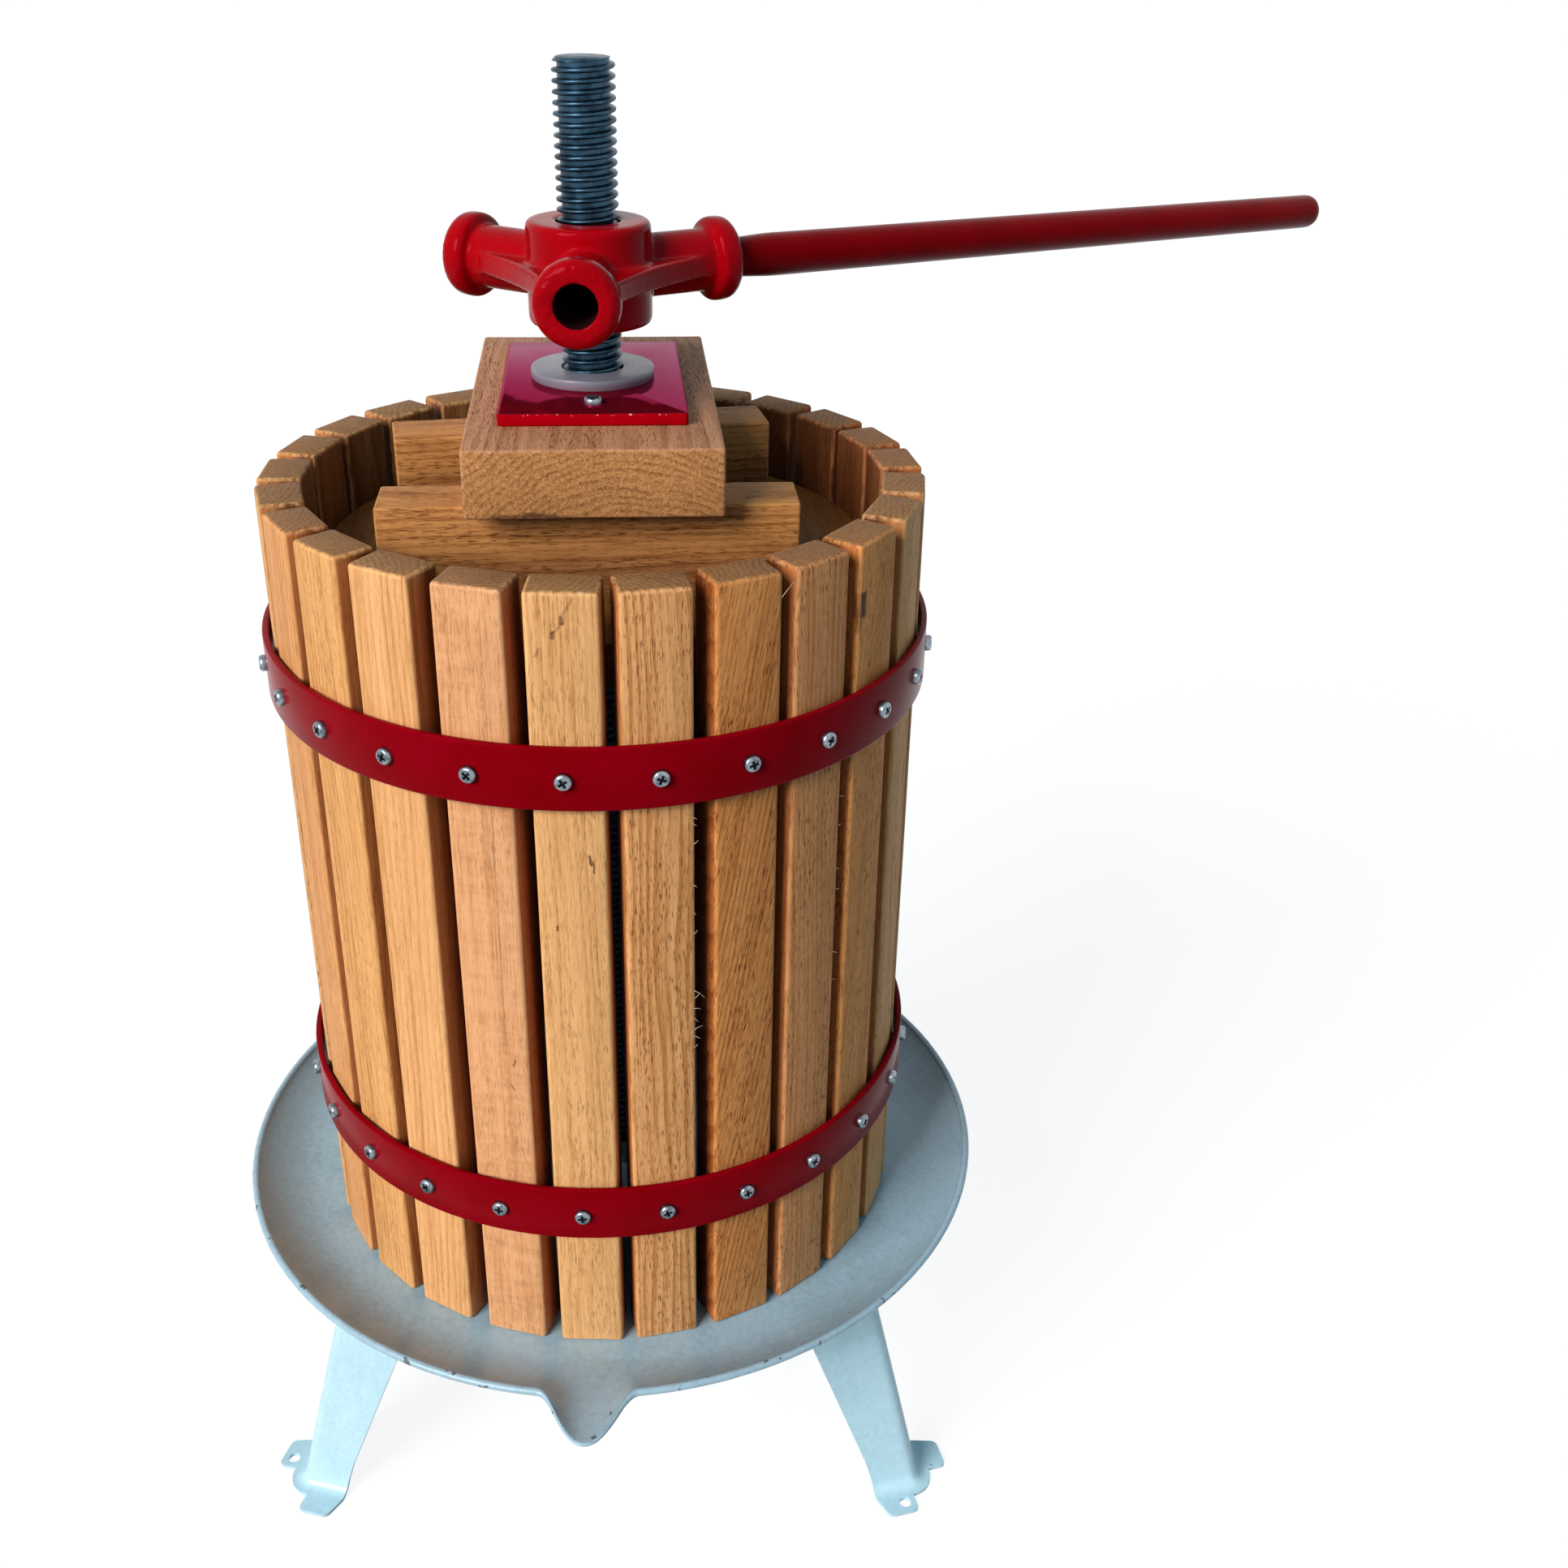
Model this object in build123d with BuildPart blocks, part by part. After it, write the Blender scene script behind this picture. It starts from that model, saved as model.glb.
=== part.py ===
from build123d import *
import os
from math import asin, atan, cos, degrees, hypot, radians, sin, sqrt, tan

# Basket fruit press. Millimetres, +Z up. The origin is on the spindle axis at floor level,
# and the pouring spout points towards -Y.

# Clearances
running_clearance = 0.4
shank_clearance = 0.1
socket_clearance = 0.4
bush_running_fit = 0.05
hoop_seat_clearance = 0.9
board_clearance = 6.0
board_split_gap = 1.0

# Tray
tray_underside = 151.5
tray_sheet = 2.0
tray_depth = 14.0
tray_channel_width = 10.0
tray_wall_width = 34.0
tray_lip_radius = 1.8
spout_reach = 23.0
spout_drop = 3.0
spout_mouth_width = 78.0
spout_rim_width = 44.0
spout_neck_width = 28.0
spout_tip_width = 18.0
spout_tip_depth = 2.0
spout_overcut = 1.0

# Legs
leg_names = ["leg_front_right", "leg_rear", "leg_front_left"]
leg_start_angle = -30.0
leg_sheet = 2.0
leg_foot_spread = 3.0
leg_top_inset = 5.0
leg_foot_flange = 23.5
leg_top_flange = 48.0
leg_bend_radius = 6.0
foot_tab_reach = 16.5
foot_tab_width = 18.5
foot_tab_start = 3.0
foot_tab_rounding = 3.0
foot_hole_diameter = 6.0
foot_hole_along = 13.0
foot_hole_out = 10.0

# Leg fixings
leg_bolt_diameter = 6.0
leg_bolt_setback = 36.0
leg_bolt_half_spacing = 20.0
leg_bolt_margin = 10.0
leg_bolt_tail = 2.0
leg_bolt_head_diameter = 12.0
leg_bolt_head_height = 4.0
leg_bolt_head_rounding = 2.5
leg_nut_width = 10.0
leg_nut_height = 5.0

# Spindle and its seat
spindle_diameter = 25.0
spindle_projection = 60.7
spindle_chamfer = 1.6
spindle_tail = 4.0
spindle_nut_width = 38.0
spindle_nut_height = 14.0
base_plate_diameter = 90.0
base_plate_thickness = 5.0

# Basket
basket_inner_radius = 123.0
slat_count = 25
slat_start_angle = -91.2
slat_gap = 2.9
slat_thickness = 19.0
slat_length = 370.0
slat_rounding = 2.0
hoop_width = 27.0
hoop_thickness = 3.0
hoop_edge_rounding = 0.8
lower_hoop_height = 80.0
upper_hoop_height = 295.5
hoop_screw_diameter = 4.0
hoop_screw_length = 16.0

# Pan heads of the hoop screws and the plate screws
pan_head_diameter = 7.2
pan_head_height = 2.8
pan_head_rounding = 1.8
screw_hole_extra_depth = 0.5

# Press stack: boards, battens, block, plate and washer
stack_turn = 4.6
board_height = 319.1
board_thickness = 20.0
batten_height = 39.0
batten_width = 28.0
batten_inset = 8.5
batten_rounding = 2.0
front_batten_offset = 58.0
front_batten_shift = -2.5
rear_batten_offset = 43.0
rear_batten_shift = -6.0
rear_batten_skew = 7.5
block_width = 100.5
block_length = 174.0
block_height = 27.5
block_rounding = 2.5
plate_width = 75.0
plate_length = 114.0
plate_thickness = 5.0
plate_rounding = 1.0
plate_screw_spacing = 84.0
plate_screw_diameter = 4.0
plate_screw_length = 22.0
washer_diameter = 51.5
washer_thickness = 4.2
washer_rounding = 0.6

# Spider nut
nut_gap = 18.3
hub_height = 41.0
hub_radius = 25.5
hub_rounding = 2.5
arm_count = 3
arm_start_angle = -90.0
arm_radius = 12.8
arm_reach = 65.0
collar_radius = 17.2
collar_length = 11.5
collar_outer_rounding = 5.0
collar_inner_rounding = 3.0
web_thickness = 9.0
web_waist_radius = 31.0
web_side_offset = 11.0
socket_diameter = 16.8
socket_depth = 34.0
bush_wall = 4.1
bush_cover = 5.0

# Handle
handle_arm = 1
handle_root_diameter = 18.0
handle_tip_diameter = 16.2
handle_reach = 414.0
handle_shoulder_start = 3.0
handle_shoulder_length = 16.0
handle_end_rounding = 6.0
handle_end_gap = 0.4
handle_droop_share = 0.72

# Heights and radii that follow from the sizes above
tray_floor = tray_underside + tray_sheet
tray_rim = tray_floor + tray_depth
spindle_radius = spindle_diameter / 2
spindle_seat_bore = spindle_radius + shank_clearance
slide_bore = spindle_radius + running_clearance
slat_width = 2 * basket_inner_radius * tan(radians(180 / slat_count)) - slat_gap
slat_face_radius = basket_inner_radius + slat_thickness
tray_flat_radius = slat_face_radius + tray_channel_width
tray_rim_radius = tray_flat_radius + tray_wall_width
slat_corner_reach = hypot(slat_face_radius - slat_rounding, slat_width / 2 - slat_rounding)
hoop_inner_radius = slat_corner_reach + slat_rounding + hoop_seat_clearance
hoop_outer_radius = hoop_inner_radius + hoop_thickness
hoop_screw_bore = hoop_screw_diameter / 2 + shank_clearance
plate_screw_bore = plate_screw_diameter / 2 + shank_clearance
leg_bolt_bore = leg_bolt_diameter / 2 + shank_clearance
leg_foot_radius = tray_rim_radius + leg_foot_spread
leg_top_radius = tray_flat_radius - leg_top_inset
leg_bolt_radius = leg_top_radius - leg_bolt_setback
base_plate_bottom = tray_underside - base_plate_thickness
board_radius = basket_inner_radius - board_clearance
board_bottom = tray_floor + board_height
batten_bottom = board_bottom + board_thickness
batten_edge = max(front_batten_offset, rear_batten_offset) + batten_width / 2
batten_length = 2 * (sqrt(board_radius**2 - batten_edge**2) - batten_inset)
block_bottom = batten_bottom + batten_height
plate_bottom = block_bottom + block_height
washer_bottom = plate_bottom + plate_thickness
hub_bottom = washer_bottom + washer_thickness + nut_gap
hub_top = hub_bottom + hub_height
arm_height = hub_bottom + hub_height / 2
bush_radius = slide_bore + bush_wall
bush_height = hub_height - bush_cover
spigot_radius = socket_diameter / 2 - socket_clearance

leg_angles = [leg_start_angle + 360 / len(leg_names) * step for step in range(len(leg_names))]
arm_angles = [arm_start_angle + 360 / arm_count * step for step in range(arm_count)]
hoop_heights = {
    "lower": tray_floor + lower_hoop_height,
    "upper": tray_floor + upper_hoop_height,
}
fold_diagonal = sqrt(2)
centred_on_base = (Align.CENTER, Align.CENTER, Align.MIN)
centred_below = (Align.CENTER, Align.CENTER, Align.MAX)


def turned_plane(angle, height=0):
    """A level plane turned about the spindle, so that its x axis points outwards at angle."""
    return Plane.XY.offset(height).rotated((0, 0, angle))


def radial_plane(angle, height):
    """An upright plane through the spindle axis: x outwards at angle, y upwards."""
    outward = (cos(radians(angle)), sin(radians(angle)), 0)
    sideways = (sin(radians(angle)), -cos(radians(angle)), 0)
    return Plane(origin=(0, 0, height), x_dir=outward, z_dir=sideways)


def radial_axis(angle, height):
    """The level line from the spindle axis outwards at angle."""
    return Axis((0, 0, height), (cos(radians(angle)), sin(radians(angle)), 0))


def polar_point(radius, angle):
    """The point at radius and angle in a level sketch."""
    return (radius * cos(radians(angle)), radius * sin(radians(angle)))


def leg_bolt_points():
    """The level positions of all the leg bolts."""
    points = []
    for angle in leg_angles:
        across = polar_point(leg_bolt_half_spacing, angle + 90)
        centre = polar_point(leg_bolt_radius, angle)
        points.append((centre[0] + across[0], centre[1] + across[1]))
        points.append((centre[0] - across[0], centre[1] - across[1]))
    return points


def save(piece, name):
    """Label a finished piece and write it as its own file."""
    piece.part.label = name
    export_step(piece.part, f"parts/{name}.step")


def headed_pin(head_diameter, head_height, head_rounding, diameter, length):
    """A round-headed fastener along Z, with the underside of its head at the origin."""
    with BuildPart() as pin:
        Cylinder(head_diameter / 2, head_height, align=centred_on_base)
        fillet(pin.edges().sort_by(Axis.Z)[-1], head_rounding)
        Cylinder(diameter / 2, length, align=centred_below)
    return pin.part


def hex_nut(width, height, bore):
    """A hexagon nut that stands on the origin plane."""
    with BuildPart() as nut:
        with BuildSketch():
            RegularPolygon(width / 2, 6, major_radius=False)
            Circle(bore, mode=Mode.SUBTRACT)
        extrude(amount=height)
    return nut.part


def spout_section(distance, half_width, bottom, edge, top):
    """A U-shaped face across the spout, at a distance in front of the spindle."""
    across = Plane(origin=(0, -distance, 0), x_dir=(1, 0, 0), z_dir=(0, -1, 0))
    with BuildSketch(across) as section:
        with BuildLine():
            ThreePointArc((-half_width, edge), (0, bottom), (half_width, edge))
            Polyline((half_width, edge), (half_width, top), (-half_width, top), (-half_width, edge))
        make_face()
    return section.sketch


def folded_section(spine_radius, flange, height):
    """The L-shaped section of a leg: two flanges that run inwards from a rounded bend."""
    along = flange / fold_diagonal
    step = leg_sheet * fold_diagonal
    tip = leg_sheet / fold_diagonal
    with BuildSketch(Plane.XY.offset(height)) as section:
        with BuildLine():
            Polyline(
                (spine_radius, 0),
                (spine_radius - along, along),
                (spine_radius - along - tip, along - tip),
                (spine_radius - step, 0),
                (spine_radius - along - tip, tip - along),
                (spine_radius - along, -along),
                close=True,
            )
        make_face()
        outer = section.vertices().filter_by_position(Axis.Y, -tip / 2, tip / 2).sort_by(Axis.X)[-1]
        fillet(outer, leg_bend_radius)
        inner = section.vertices().filter_by_position(Axis.Y, -tip / 2, tip / 2).sort_by(Axis.X)[0]
        fillet(inner, leg_bend_radius - leg_sheet)
    return section.sketch


def leg_shape():
    """One folded leg that stands out along +X, with its top plate and its two foot tabs."""
    plate_edge = leg_bolt_radius - leg_bolt_margin
    mid_sheet = leg_sheet / fold_diagonal
    along = leg_top_flange / fold_diagonal
    foot = folded_section(leg_foot_radius, leg_foot_flange, 0)
    shoulder = folded_section(leg_top_radius, leg_top_flange, tray_underside)
    with BuildPart() as leg:
        loft([foot, shoulder], ruled=True)
        with BuildSketch(Plane.XY.offset(tray_underside)):
            with BuildLine():
                Polyline(
                    (leg_top_radius - leg_bend_radius, leg_bend_radius - mid_sheet),
                    (leg_top_radius - along, along - mid_sheet),
                    (plate_edge, along - mid_sheet),
                    (plate_edge, mid_sheet - along),
                    (leg_top_radius - along, mid_sheet - along),
                    (leg_top_radius - leg_bend_radius, mid_sheet - leg_bend_radius),
                    close=True,
                )
            make_face()
            with Locations(
                (leg_bolt_radius, leg_bolt_half_spacing), (leg_bolt_radius, -leg_bolt_half_spacing)
            ):
                Circle(leg_bolt_bore, mode=Mode.SUBTRACT)
        extrude(amount=-leg_sheet)
        for side in (1, -1):
            tab_plane = Plane(origin=(leg_foot_radius, 0, 0), x_dir=(1, side, 0), z_dir=(0, 0, 1))
            with BuildSketch(tab_plane) as tab:
                with Locations((-leg_sheet, side * (foot_tab_start + foot_tab_width / 2))):
                    Rectangle(
                        foot_tab_reach + leg_sheet,
                        foot_tab_width,
                        align=(Align.MIN, Align.CENTER),
                    )
                fillet(tab.vertices().sort_by(Axis.X)[-2:], foot_tab_rounding)
                if side < 0:
                    with Locations((foot_hole_out, side * foot_hole_along)):
                        Circle(foot_hole_diameter / 2, mode=Mode.SUBTRACT)
            extrude(amount=leg_sheet)
    return leg.part


os.makedirs("parts", exist_ok=True)

# Tray: a dish turned about the spindle axis, with a pouring spout let into its wall
lip_centre_radius = tray_rim_radius - tray_lip_radius
lip_centre_height = tray_rim - tray_lip_radius
wall_run = lip_centre_radius - tray_flat_radius
wall_rise = lip_centre_height - tray_floor + tray_sheet / 2
wall_bend = (wall_run**2 + wall_rise**2) / (2 * wall_rise)
wall_sweep = degrees(asin(wall_run / wall_bend))
wall_centre = (tray_flat_radius, tray_floor - tray_sheet / 2 + wall_bend)
dish_top = tray_rim + tray_depth
spout_tip = tray_rim_radius + spout_reach
spout_tip_edge = tray_rim - spout_drop
spout_tip_floor = spout_tip_edge - spout_tip_depth
spout_rise = (spout_tip_floor - tray_floor) / (spout_tip - tray_flat_radius)
spout_stations = [
    (tray_flat_radius, spout_mouth_width / 2, tray_rim),
    (tray_rim_radius, spout_rim_width / 2, tray_rim),
    (tray_rim_radius + spout_reach / 2, spout_neck_width / 2, tray_rim - spout_drop / 3),
    (spout_tip, spout_tip_width / 2, spout_tip_edge),
]
spout_skins = []
spout_channels = []
for distance, half_width, edge in spout_stations:
    channel_floor = tray_floor + spout_rise * (distance - tray_flat_radius)
    skin_floor = channel_floor - tray_sheet
    spout_skins.append(spout_section(distance, half_width, skin_floor, edge - tray_sheet, edge))
    overcut = spout_overcut if distance == spout_tip else 0
    spout_channels.append(
        spout_section(distance + overcut, half_width - tray_sheet, channel_floor, edge, dish_top)
    )

with BuildPart() as tray:
    loft(spout_skins)
    with BuildSketch(Plane.XZ):
        with BuildLine():
            hollow_wall = CenterArc(wall_centre, wall_bend - tray_sheet / 2, -90, wall_sweep)
            hollow_edge = (hollow_wall @ 1).X
            Polyline(
                hollow_wall @ 1,
                (hollow_edge, dish_top),
                (0, dish_top),
                (0, tray_floor),
                hollow_wall @ 0,
            )
        make_face()
    revolve(axis=Axis.Z, mode=Mode.SUBTRACT)
    with BuildSketch(Plane.XZ):
        with BuildLine():
            inside = CenterArc(wall_centre, wall_bend - tray_sheet / 2, -90, wall_sweep)
            outside = CenterArc(wall_centre, wall_bend + tray_sheet / 2, -90, wall_sweep)
            Line(inside @ 1, outside @ 1)
            Polyline(
                outside @ 0,
                (spindle_seat_bore, tray_underside),
                (spindle_seat_bore, tray_floor),
                inside @ 0,
            )
        make_face()
        with Locations((lip_centre_radius, lip_centre_height)):
            Circle(tray_lip_radius)
    revolve(axis=Axis.Z)
    loft(spout_channels, mode=Mode.SUBTRACT)
    with BuildSketch(Plane.XY.offset(tray_floor)):
        with Locations(*leg_bolt_points()):
            Circle(leg_bolt_bore)
    extrude(amount=-tray_sheet, mode=Mode.SUBTRACT)
save(tray, "tray")

# Legs, bolted up to the tray floor
leg_blank = leg_shape()
for leg_name, leg_angle in zip(leg_names, leg_angles):
    with BuildPart(turned_plane(leg_angle)) as leg:
        add(leg_blank)
    save(leg, leg_name)

leg_bolt = headed_pin(
    leg_bolt_head_diameter,
    leg_bolt_head_height,
    leg_bolt_head_rounding,
    leg_bolt_diameter,
    tray_sheet + leg_sheet + leg_nut_height + leg_bolt_tail,
)
with BuildPart(Plane.XY.offset(tray_floor)) as leg_bolts:
    with Locations(*leg_bolt_points()):
        add(leg_bolt)
save(leg_bolts, "leg_bolts")

leg_nut = hex_nut(leg_nut_width, leg_nut_height, leg_bolt_bore)
with BuildPart(Plane.XY.offset(tray_underside - leg_sheet - leg_nut_height)) as leg_nuts:
    with Locations(*leg_bolt_points()):
        add(leg_nut)
save(leg_nuts, "leg_nuts")

# Spindle, clamped through tray and base plate by two nuts
with BuildPart() as base_plate:
    with BuildSketch(Plane.XY.offset(base_plate_bottom)):
        Circle(base_plate_diameter / 2)
        Circle(spindle_seat_bore, mode=Mode.SUBTRACT)
    extrude(amount=base_plate_thickness)
save(base_plate, "base_plate")

spindle_bottom = base_plate_bottom - spindle_nut_height - spindle_tail
spindle_top = hub_top + spindle_projection
with BuildPart(Plane.XY.offset(spindle_bottom)) as spindle:
    Cylinder(spindle_radius, spindle_top - spindle_bottom, align=centred_on_base)
    chamfer(spindle.edges().filter_by(GeomType.CIRCLE), spindle_chamfer)
save(spindle, "spindle")

spindle_nut = hex_nut(spindle_nut_width, spindle_nut_height, spindle_seat_bore)
with BuildPart(Plane.XY.offset(tray_floor)) as spindle_nut_upper:
    add(spindle_nut)
save(spindle_nut_upper, "spindle_nut_upper")

with BuildPart(Plane.XY.offset(base_plate_bottom - spindle_nut_height)) as spindle_nut_lower:
    add(spindle_nut)
save(spindle_nut_lower, "spindle_nut_lower")

# Basket slats, each with a blind screw hole behind each hoop
slat_hole_depth = hoop_screw_length - hoop_thickness + screw_hole_extra_depth
with BuildPart() as slat_blank:
    with BuildSketch(Plane.XY.offset(tray_floor)):
        with Locations((basket_inner_radius + slat_thickness / 2, 0)):
            RectangleRounded(slat_thickness, slat_width, slat_rounding)
    extrude(amount=slat_length)
    for hoop_height in hoop_heights.values():
        with Locations((hoop_inner_radius, 0, hoop_height)):
            Cylinder(
                hoop_screw_bore,
                slat_hole_depth,
                rotation=(0, 90, 0),
                align=centred_below,
                mode=Mode.SUBTRACT,
            )

for slat_index in range(slat_count):
    slat_angle = slat_start_angle + 360 / slat_count * slat_index
    with BuildPart(turned_plane(slat_angle)) as slat:
        add(slat_blank.part)
    save(slat, f"slat_{slat_index + 1:02d}")

# Hoops and their screws
hoop_screw = headed_pin(
    pan_head_diameter,
    pan_head_height,
    pan_head_rounding,
    hoop_screw_diameter,
    hoop_screw_length,
)
for hoop_name, hoop_height in hoop_heights.items():
    with BuildPart(Plane.XY.offset(hoop_height)) as hoop:
        with BuildSketch(Plane.XY.offset(hoop_height)):
            Circle(hoop_outer_radius)
            Circle(hoop_inner_radius, mode=Mode.SUBTRACT)
        extrude(amount=hoop_width / 2, both=True)
        fillet(hoop.edges().filter_by(GeomType.CIRCLE), hoop_edge_rounding)
        with PolarLocations(hoop_outer_radius, slat_count, start_angle=slat_start_angle):
            Cylinder(
                hoop_screw_bore,
                3 * hoop_thickness,
                rotation=(0, 90, 0),
                mode=Mode.SUBTRACT,
            )
    save(hoop, f"hoop_{hoop_name}")

    with BuildPart(Plane.XY.offset(hoop_height)) as hoop_screws:
        with PolarLocations(hoop_outer_radius, slat_count, start_angle=slat_start_angle):
            add(hoop_screw, rotation=(0, 90, 0))
    save(hoop_screws, f"hoop_screws_{hoop_name}")

# Press boards: two half discs that part along a front-to-back line
for side_name, side in (("left", -1), ("right", 1)):
    with BuildPart() as board:
        with BuildSketch(turned_plane(stack_turn, board_bottom)):
            Circle(board_radius)
            Circle(slide_bore, mode=Mode.SUBTRACT)
            with Locations((side * (board_split_gap / 2 - board_radius), 0)):
                Rectangle(2 * board_radius, 2 * board_radius, mode=Mode.SUBTRACT)
        extrude(amount=board_thickness)
    save(board, f"press_board_{side_name}")

# Battens, the rear one laid a little askew
with BuildPart() as batten_blank:
    Box(batten_length, batten_width, batten_height, align=centred_on_base)
    fillet(batten_blank.edges(), batten_rounding)

with BuildPart(turned_plane(stack_turn, batten_bottom)) as batten_front:
    with Locations((front_batten_shift, -front_batten_offset)):
        add(batten_blank.part)
save(batten_front, "batten_front")

with BuildPart(turned_plane(stack_turn, batten_bottom)) as batten_rear:
    with Locations((rear_batten_shift, rear_batten_offset)):
        add(batten_blank.part, rotation=(0, 0, rear_batten_skew))
save(batten_rear, "batten_rear")

# Block, plate, plate screws and washer on top of the battens
plate_screw_points = [(0, -plate_screw_spacing / 2), (0, plate_screw_spacing / 2)]
plate_screw_depth = plate_screw_length - plate_thickness + screw_hole_extra_depth

with BuildPart(turned_plane(stack_turn, block_bottom)) as press_block:
    Box(block_width, block_length, block_height, align=centred_on_base)
    fillet(press_block.edges(), block_rounding)
    Cylinder(slide_bore, block_height, align=centred_on_base, mode=Mode.SUBTRACT)
    with Locations(*[(x, y, block_height) for x, y in plate_screw_points]):
        Cylinder(plate_screw_bore, plate_screw_depth, align=centred_below, mode=Mode.SUBTRACT)
save(press_block, "press_block")

with BuildPart(turned_plane(stack_turn, plate_bottom)) as thrust_plate:
    Box(plate_width, plate_length, plate_thickness, align=centred_on_base)
    fillet(thrust_plate.edges(), plate_rounding)
    Cylinder(slide_bore, plate_thickness, align=centred_on_base, mode=Mode.SUBTRACT)
    with Locations(*plate_screw_points):
        Cylinder(plate_screw_bore, plate_thickness, align=centred_on_base, mode=Mode.SUBTRACT)
save(thrust_plate, "thrust_plate")

plate_screw = headed_pin(
    pan_head_diameter,
    pan_head_height,
    pan_head_rounding,
    plate_screw_diameter,
    plate_screw_length,
)
with BuildPart(turned_plane(stack_turn, washer_bottom)) as plate_screws:
    with Locations(*plate_screw_points):
        add(plate_screw)
save(plate_screws, "plate_screws")

with BuildPart(Plane.XY.offset(washer_bottom)) as thrust_washer:
    Cylinder(washer_diameter / 2, washer_thickness, align=centred_on_base)
    fillet(thrust_washer.edges().filter_by(GeomType.CIRCLE), washer_rounding)
    Cylinder(slide_bore, washer_thickness, align=centred_on_base, mode=Mode.SUBTRACT)
save(thrust_washer, "thrust_washer")

# Thread bush in the hub of the spider nut
with BuildPart() as thread_bush:
    with BuildSketch(Plane.XY.offset(hub_bottom)):
        Circle(bush_radius)
        Circle(slide_bore, mode=Mode.SUBTRACT)
    extrude(amount=bush_height)
save(thread_bush, "thread_bush")

# Spider nut: hub, collared arms with handle sockets, and webs between the arms
collar_start = arm_reach - collar_length
with BuildPart() as spider_nut:
    with BuildSketch(Plane.XZ) as hub_profile:
        with Locations((0, hub_bottom)):
            Rectangle(hub_radius, hub_height, align=(Align.MIN, Align.MIN))
        fillet(hub_profile.vertices().sort_by(Axis.X)[-2:], hub_rounding)
    revolve(axis=Axis.Z)
    for arm_angle in arm_angles:
        with BuildSketch(radial_plane(arm_angle, arm_height)) as arm_profile:
            Rectangle(arm_reach, arm_radius, align=(Align.MIN, Align.MIN))
            with Locations((collar_start, 0)):
                Rectangle(collar_length, collar_radius, align=(Align.MIN, Align.MIN))
            collar_corners = arm_profile.vertices().group_by(Axis.Y)[-1].sort_by(Axis.X)
            fillet(collar_corners[1], collar_outer_rounding)
            collar_corners = arm_profile.vertices().group_by(Axis.Y)[-1].sort_by(Axis.X)
            fillet(collar_corners[0], collar_inner_rounding)
        revolve(axis=radial_axis(arm_angle, arm_height))
    with BuildSketch(Plane.XY.offset(arm_height - web_thickness / 2)):
        for arm_angle in arm_angles:
            next_angle = arm_angle + 360 / arm_count
            with BuildLine():
                web_edge = ThreePointArc(
                    Vector(polar_point(collar_start, arm_angle))
                    + Vector(polar_point(web_side_offset, arm_angle + 90)),
                    polar_point(web_waist_radius, (arm_angle + next_angle) / 2),
                    Vector(polar_point(collar_start, next_angle))
                    + Vector(polar_point(web_side_offset, next_angle - 90)),
                )
                Polyline(web_edge @ 1, (0, 0), web_edge @ 0)
            make_face()
    extrude(amount=web_thickness)
    with Locations(Plane.XY.offset(hub_bottom)):
        Cylinder(slide_bore, hub_height, align=centred_on_base, mode=Mode.SUBTRACT)
        Cylinder(
            bush_radius + bush_running_fit,
            bush_height,
            align=centred_on_base,
            mode=Mode.SUBTRACT,
        )
    with Locations(Plane.XY.offset(arm_height)):
        with PolarLocations(arm_reach, arm_count, start_angle=arm_start_angle):
            Cylinder(
                socket_diameter / 2,
                socket_depth,
                rotation=(0, 90, 0),
                align=centred_below,
                mode=Mode.SUBTRACT,
            )
save(spider_nut, "spider_nut")

# Handle: a tapered bar whose reduced end sits in one of the sockets, and droops by the play there
handle_angle = arm_angles[handle_arm]
socket_middle = arm_reach - socket_depth / 2
handle_droop = degrees(atan(handle_droop_share * 2 * socket_clearance / socket_depth))
level_plane = radial_plane(handle_angle, arm_height)
bar_plane = Plane(
    origin=level_plane.from_local_coords((socket_middle, 0, 0)),
    x_dir=level_plane.x_dir.rotate(Axis((0, 0, 0), level_plane.z_dir), -handle_droop),
    z_dir=level_plane.z_dir,
)
spigot_start = handle_end_gap - socket_depth / 2
shoulder_start = socket_depth / 2 + handle_shoulder_start
shoulder_end = shoulder_start + handle_shoulder_length
bar_end = handle_reach - socket_middle
with BuildPart() as handle:
    with BuildSketch(bar_plane) as bar_profile:
        with BuildLine():
            Polyline(
                (spigot_start, 0),
                (spigot_start, spigot_radius),
                (shoulder_start, spigot_radius),
                (shoulder_end, handle_root_diameter / 2),
                (bar_end, handle_tip_diameter / 2),
                (bar_end, 0),
                close=True,
            )
        make_face()
        fillet(bar_profile.vertices().sort_by(Axis.X)[-2:].sort_by(Axis.Y)[-1], handle_end_rounding)
    revolve(axis=Axis(bar_plane.origin, bar_plane.x_dir))
save(handle, "handle")
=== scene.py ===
import math
import random

import bmesh
import bpy
from mathutils import Matrix, Vector, noise


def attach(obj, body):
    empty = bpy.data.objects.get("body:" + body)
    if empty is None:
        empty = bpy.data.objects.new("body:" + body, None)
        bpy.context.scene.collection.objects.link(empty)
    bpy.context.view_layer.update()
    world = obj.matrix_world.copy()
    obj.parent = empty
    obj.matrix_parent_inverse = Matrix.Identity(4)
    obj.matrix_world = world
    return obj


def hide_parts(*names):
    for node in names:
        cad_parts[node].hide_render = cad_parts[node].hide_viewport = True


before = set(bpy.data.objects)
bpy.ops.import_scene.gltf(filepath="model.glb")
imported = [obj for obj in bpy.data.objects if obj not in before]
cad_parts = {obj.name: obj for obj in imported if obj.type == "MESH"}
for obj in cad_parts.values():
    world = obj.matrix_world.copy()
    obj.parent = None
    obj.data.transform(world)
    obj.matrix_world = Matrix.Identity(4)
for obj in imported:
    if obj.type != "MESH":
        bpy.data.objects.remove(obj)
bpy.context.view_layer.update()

MM_PER_M = 1000.0
ORIGIN = Vector((0.0, 0.0, 0.0))
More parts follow.
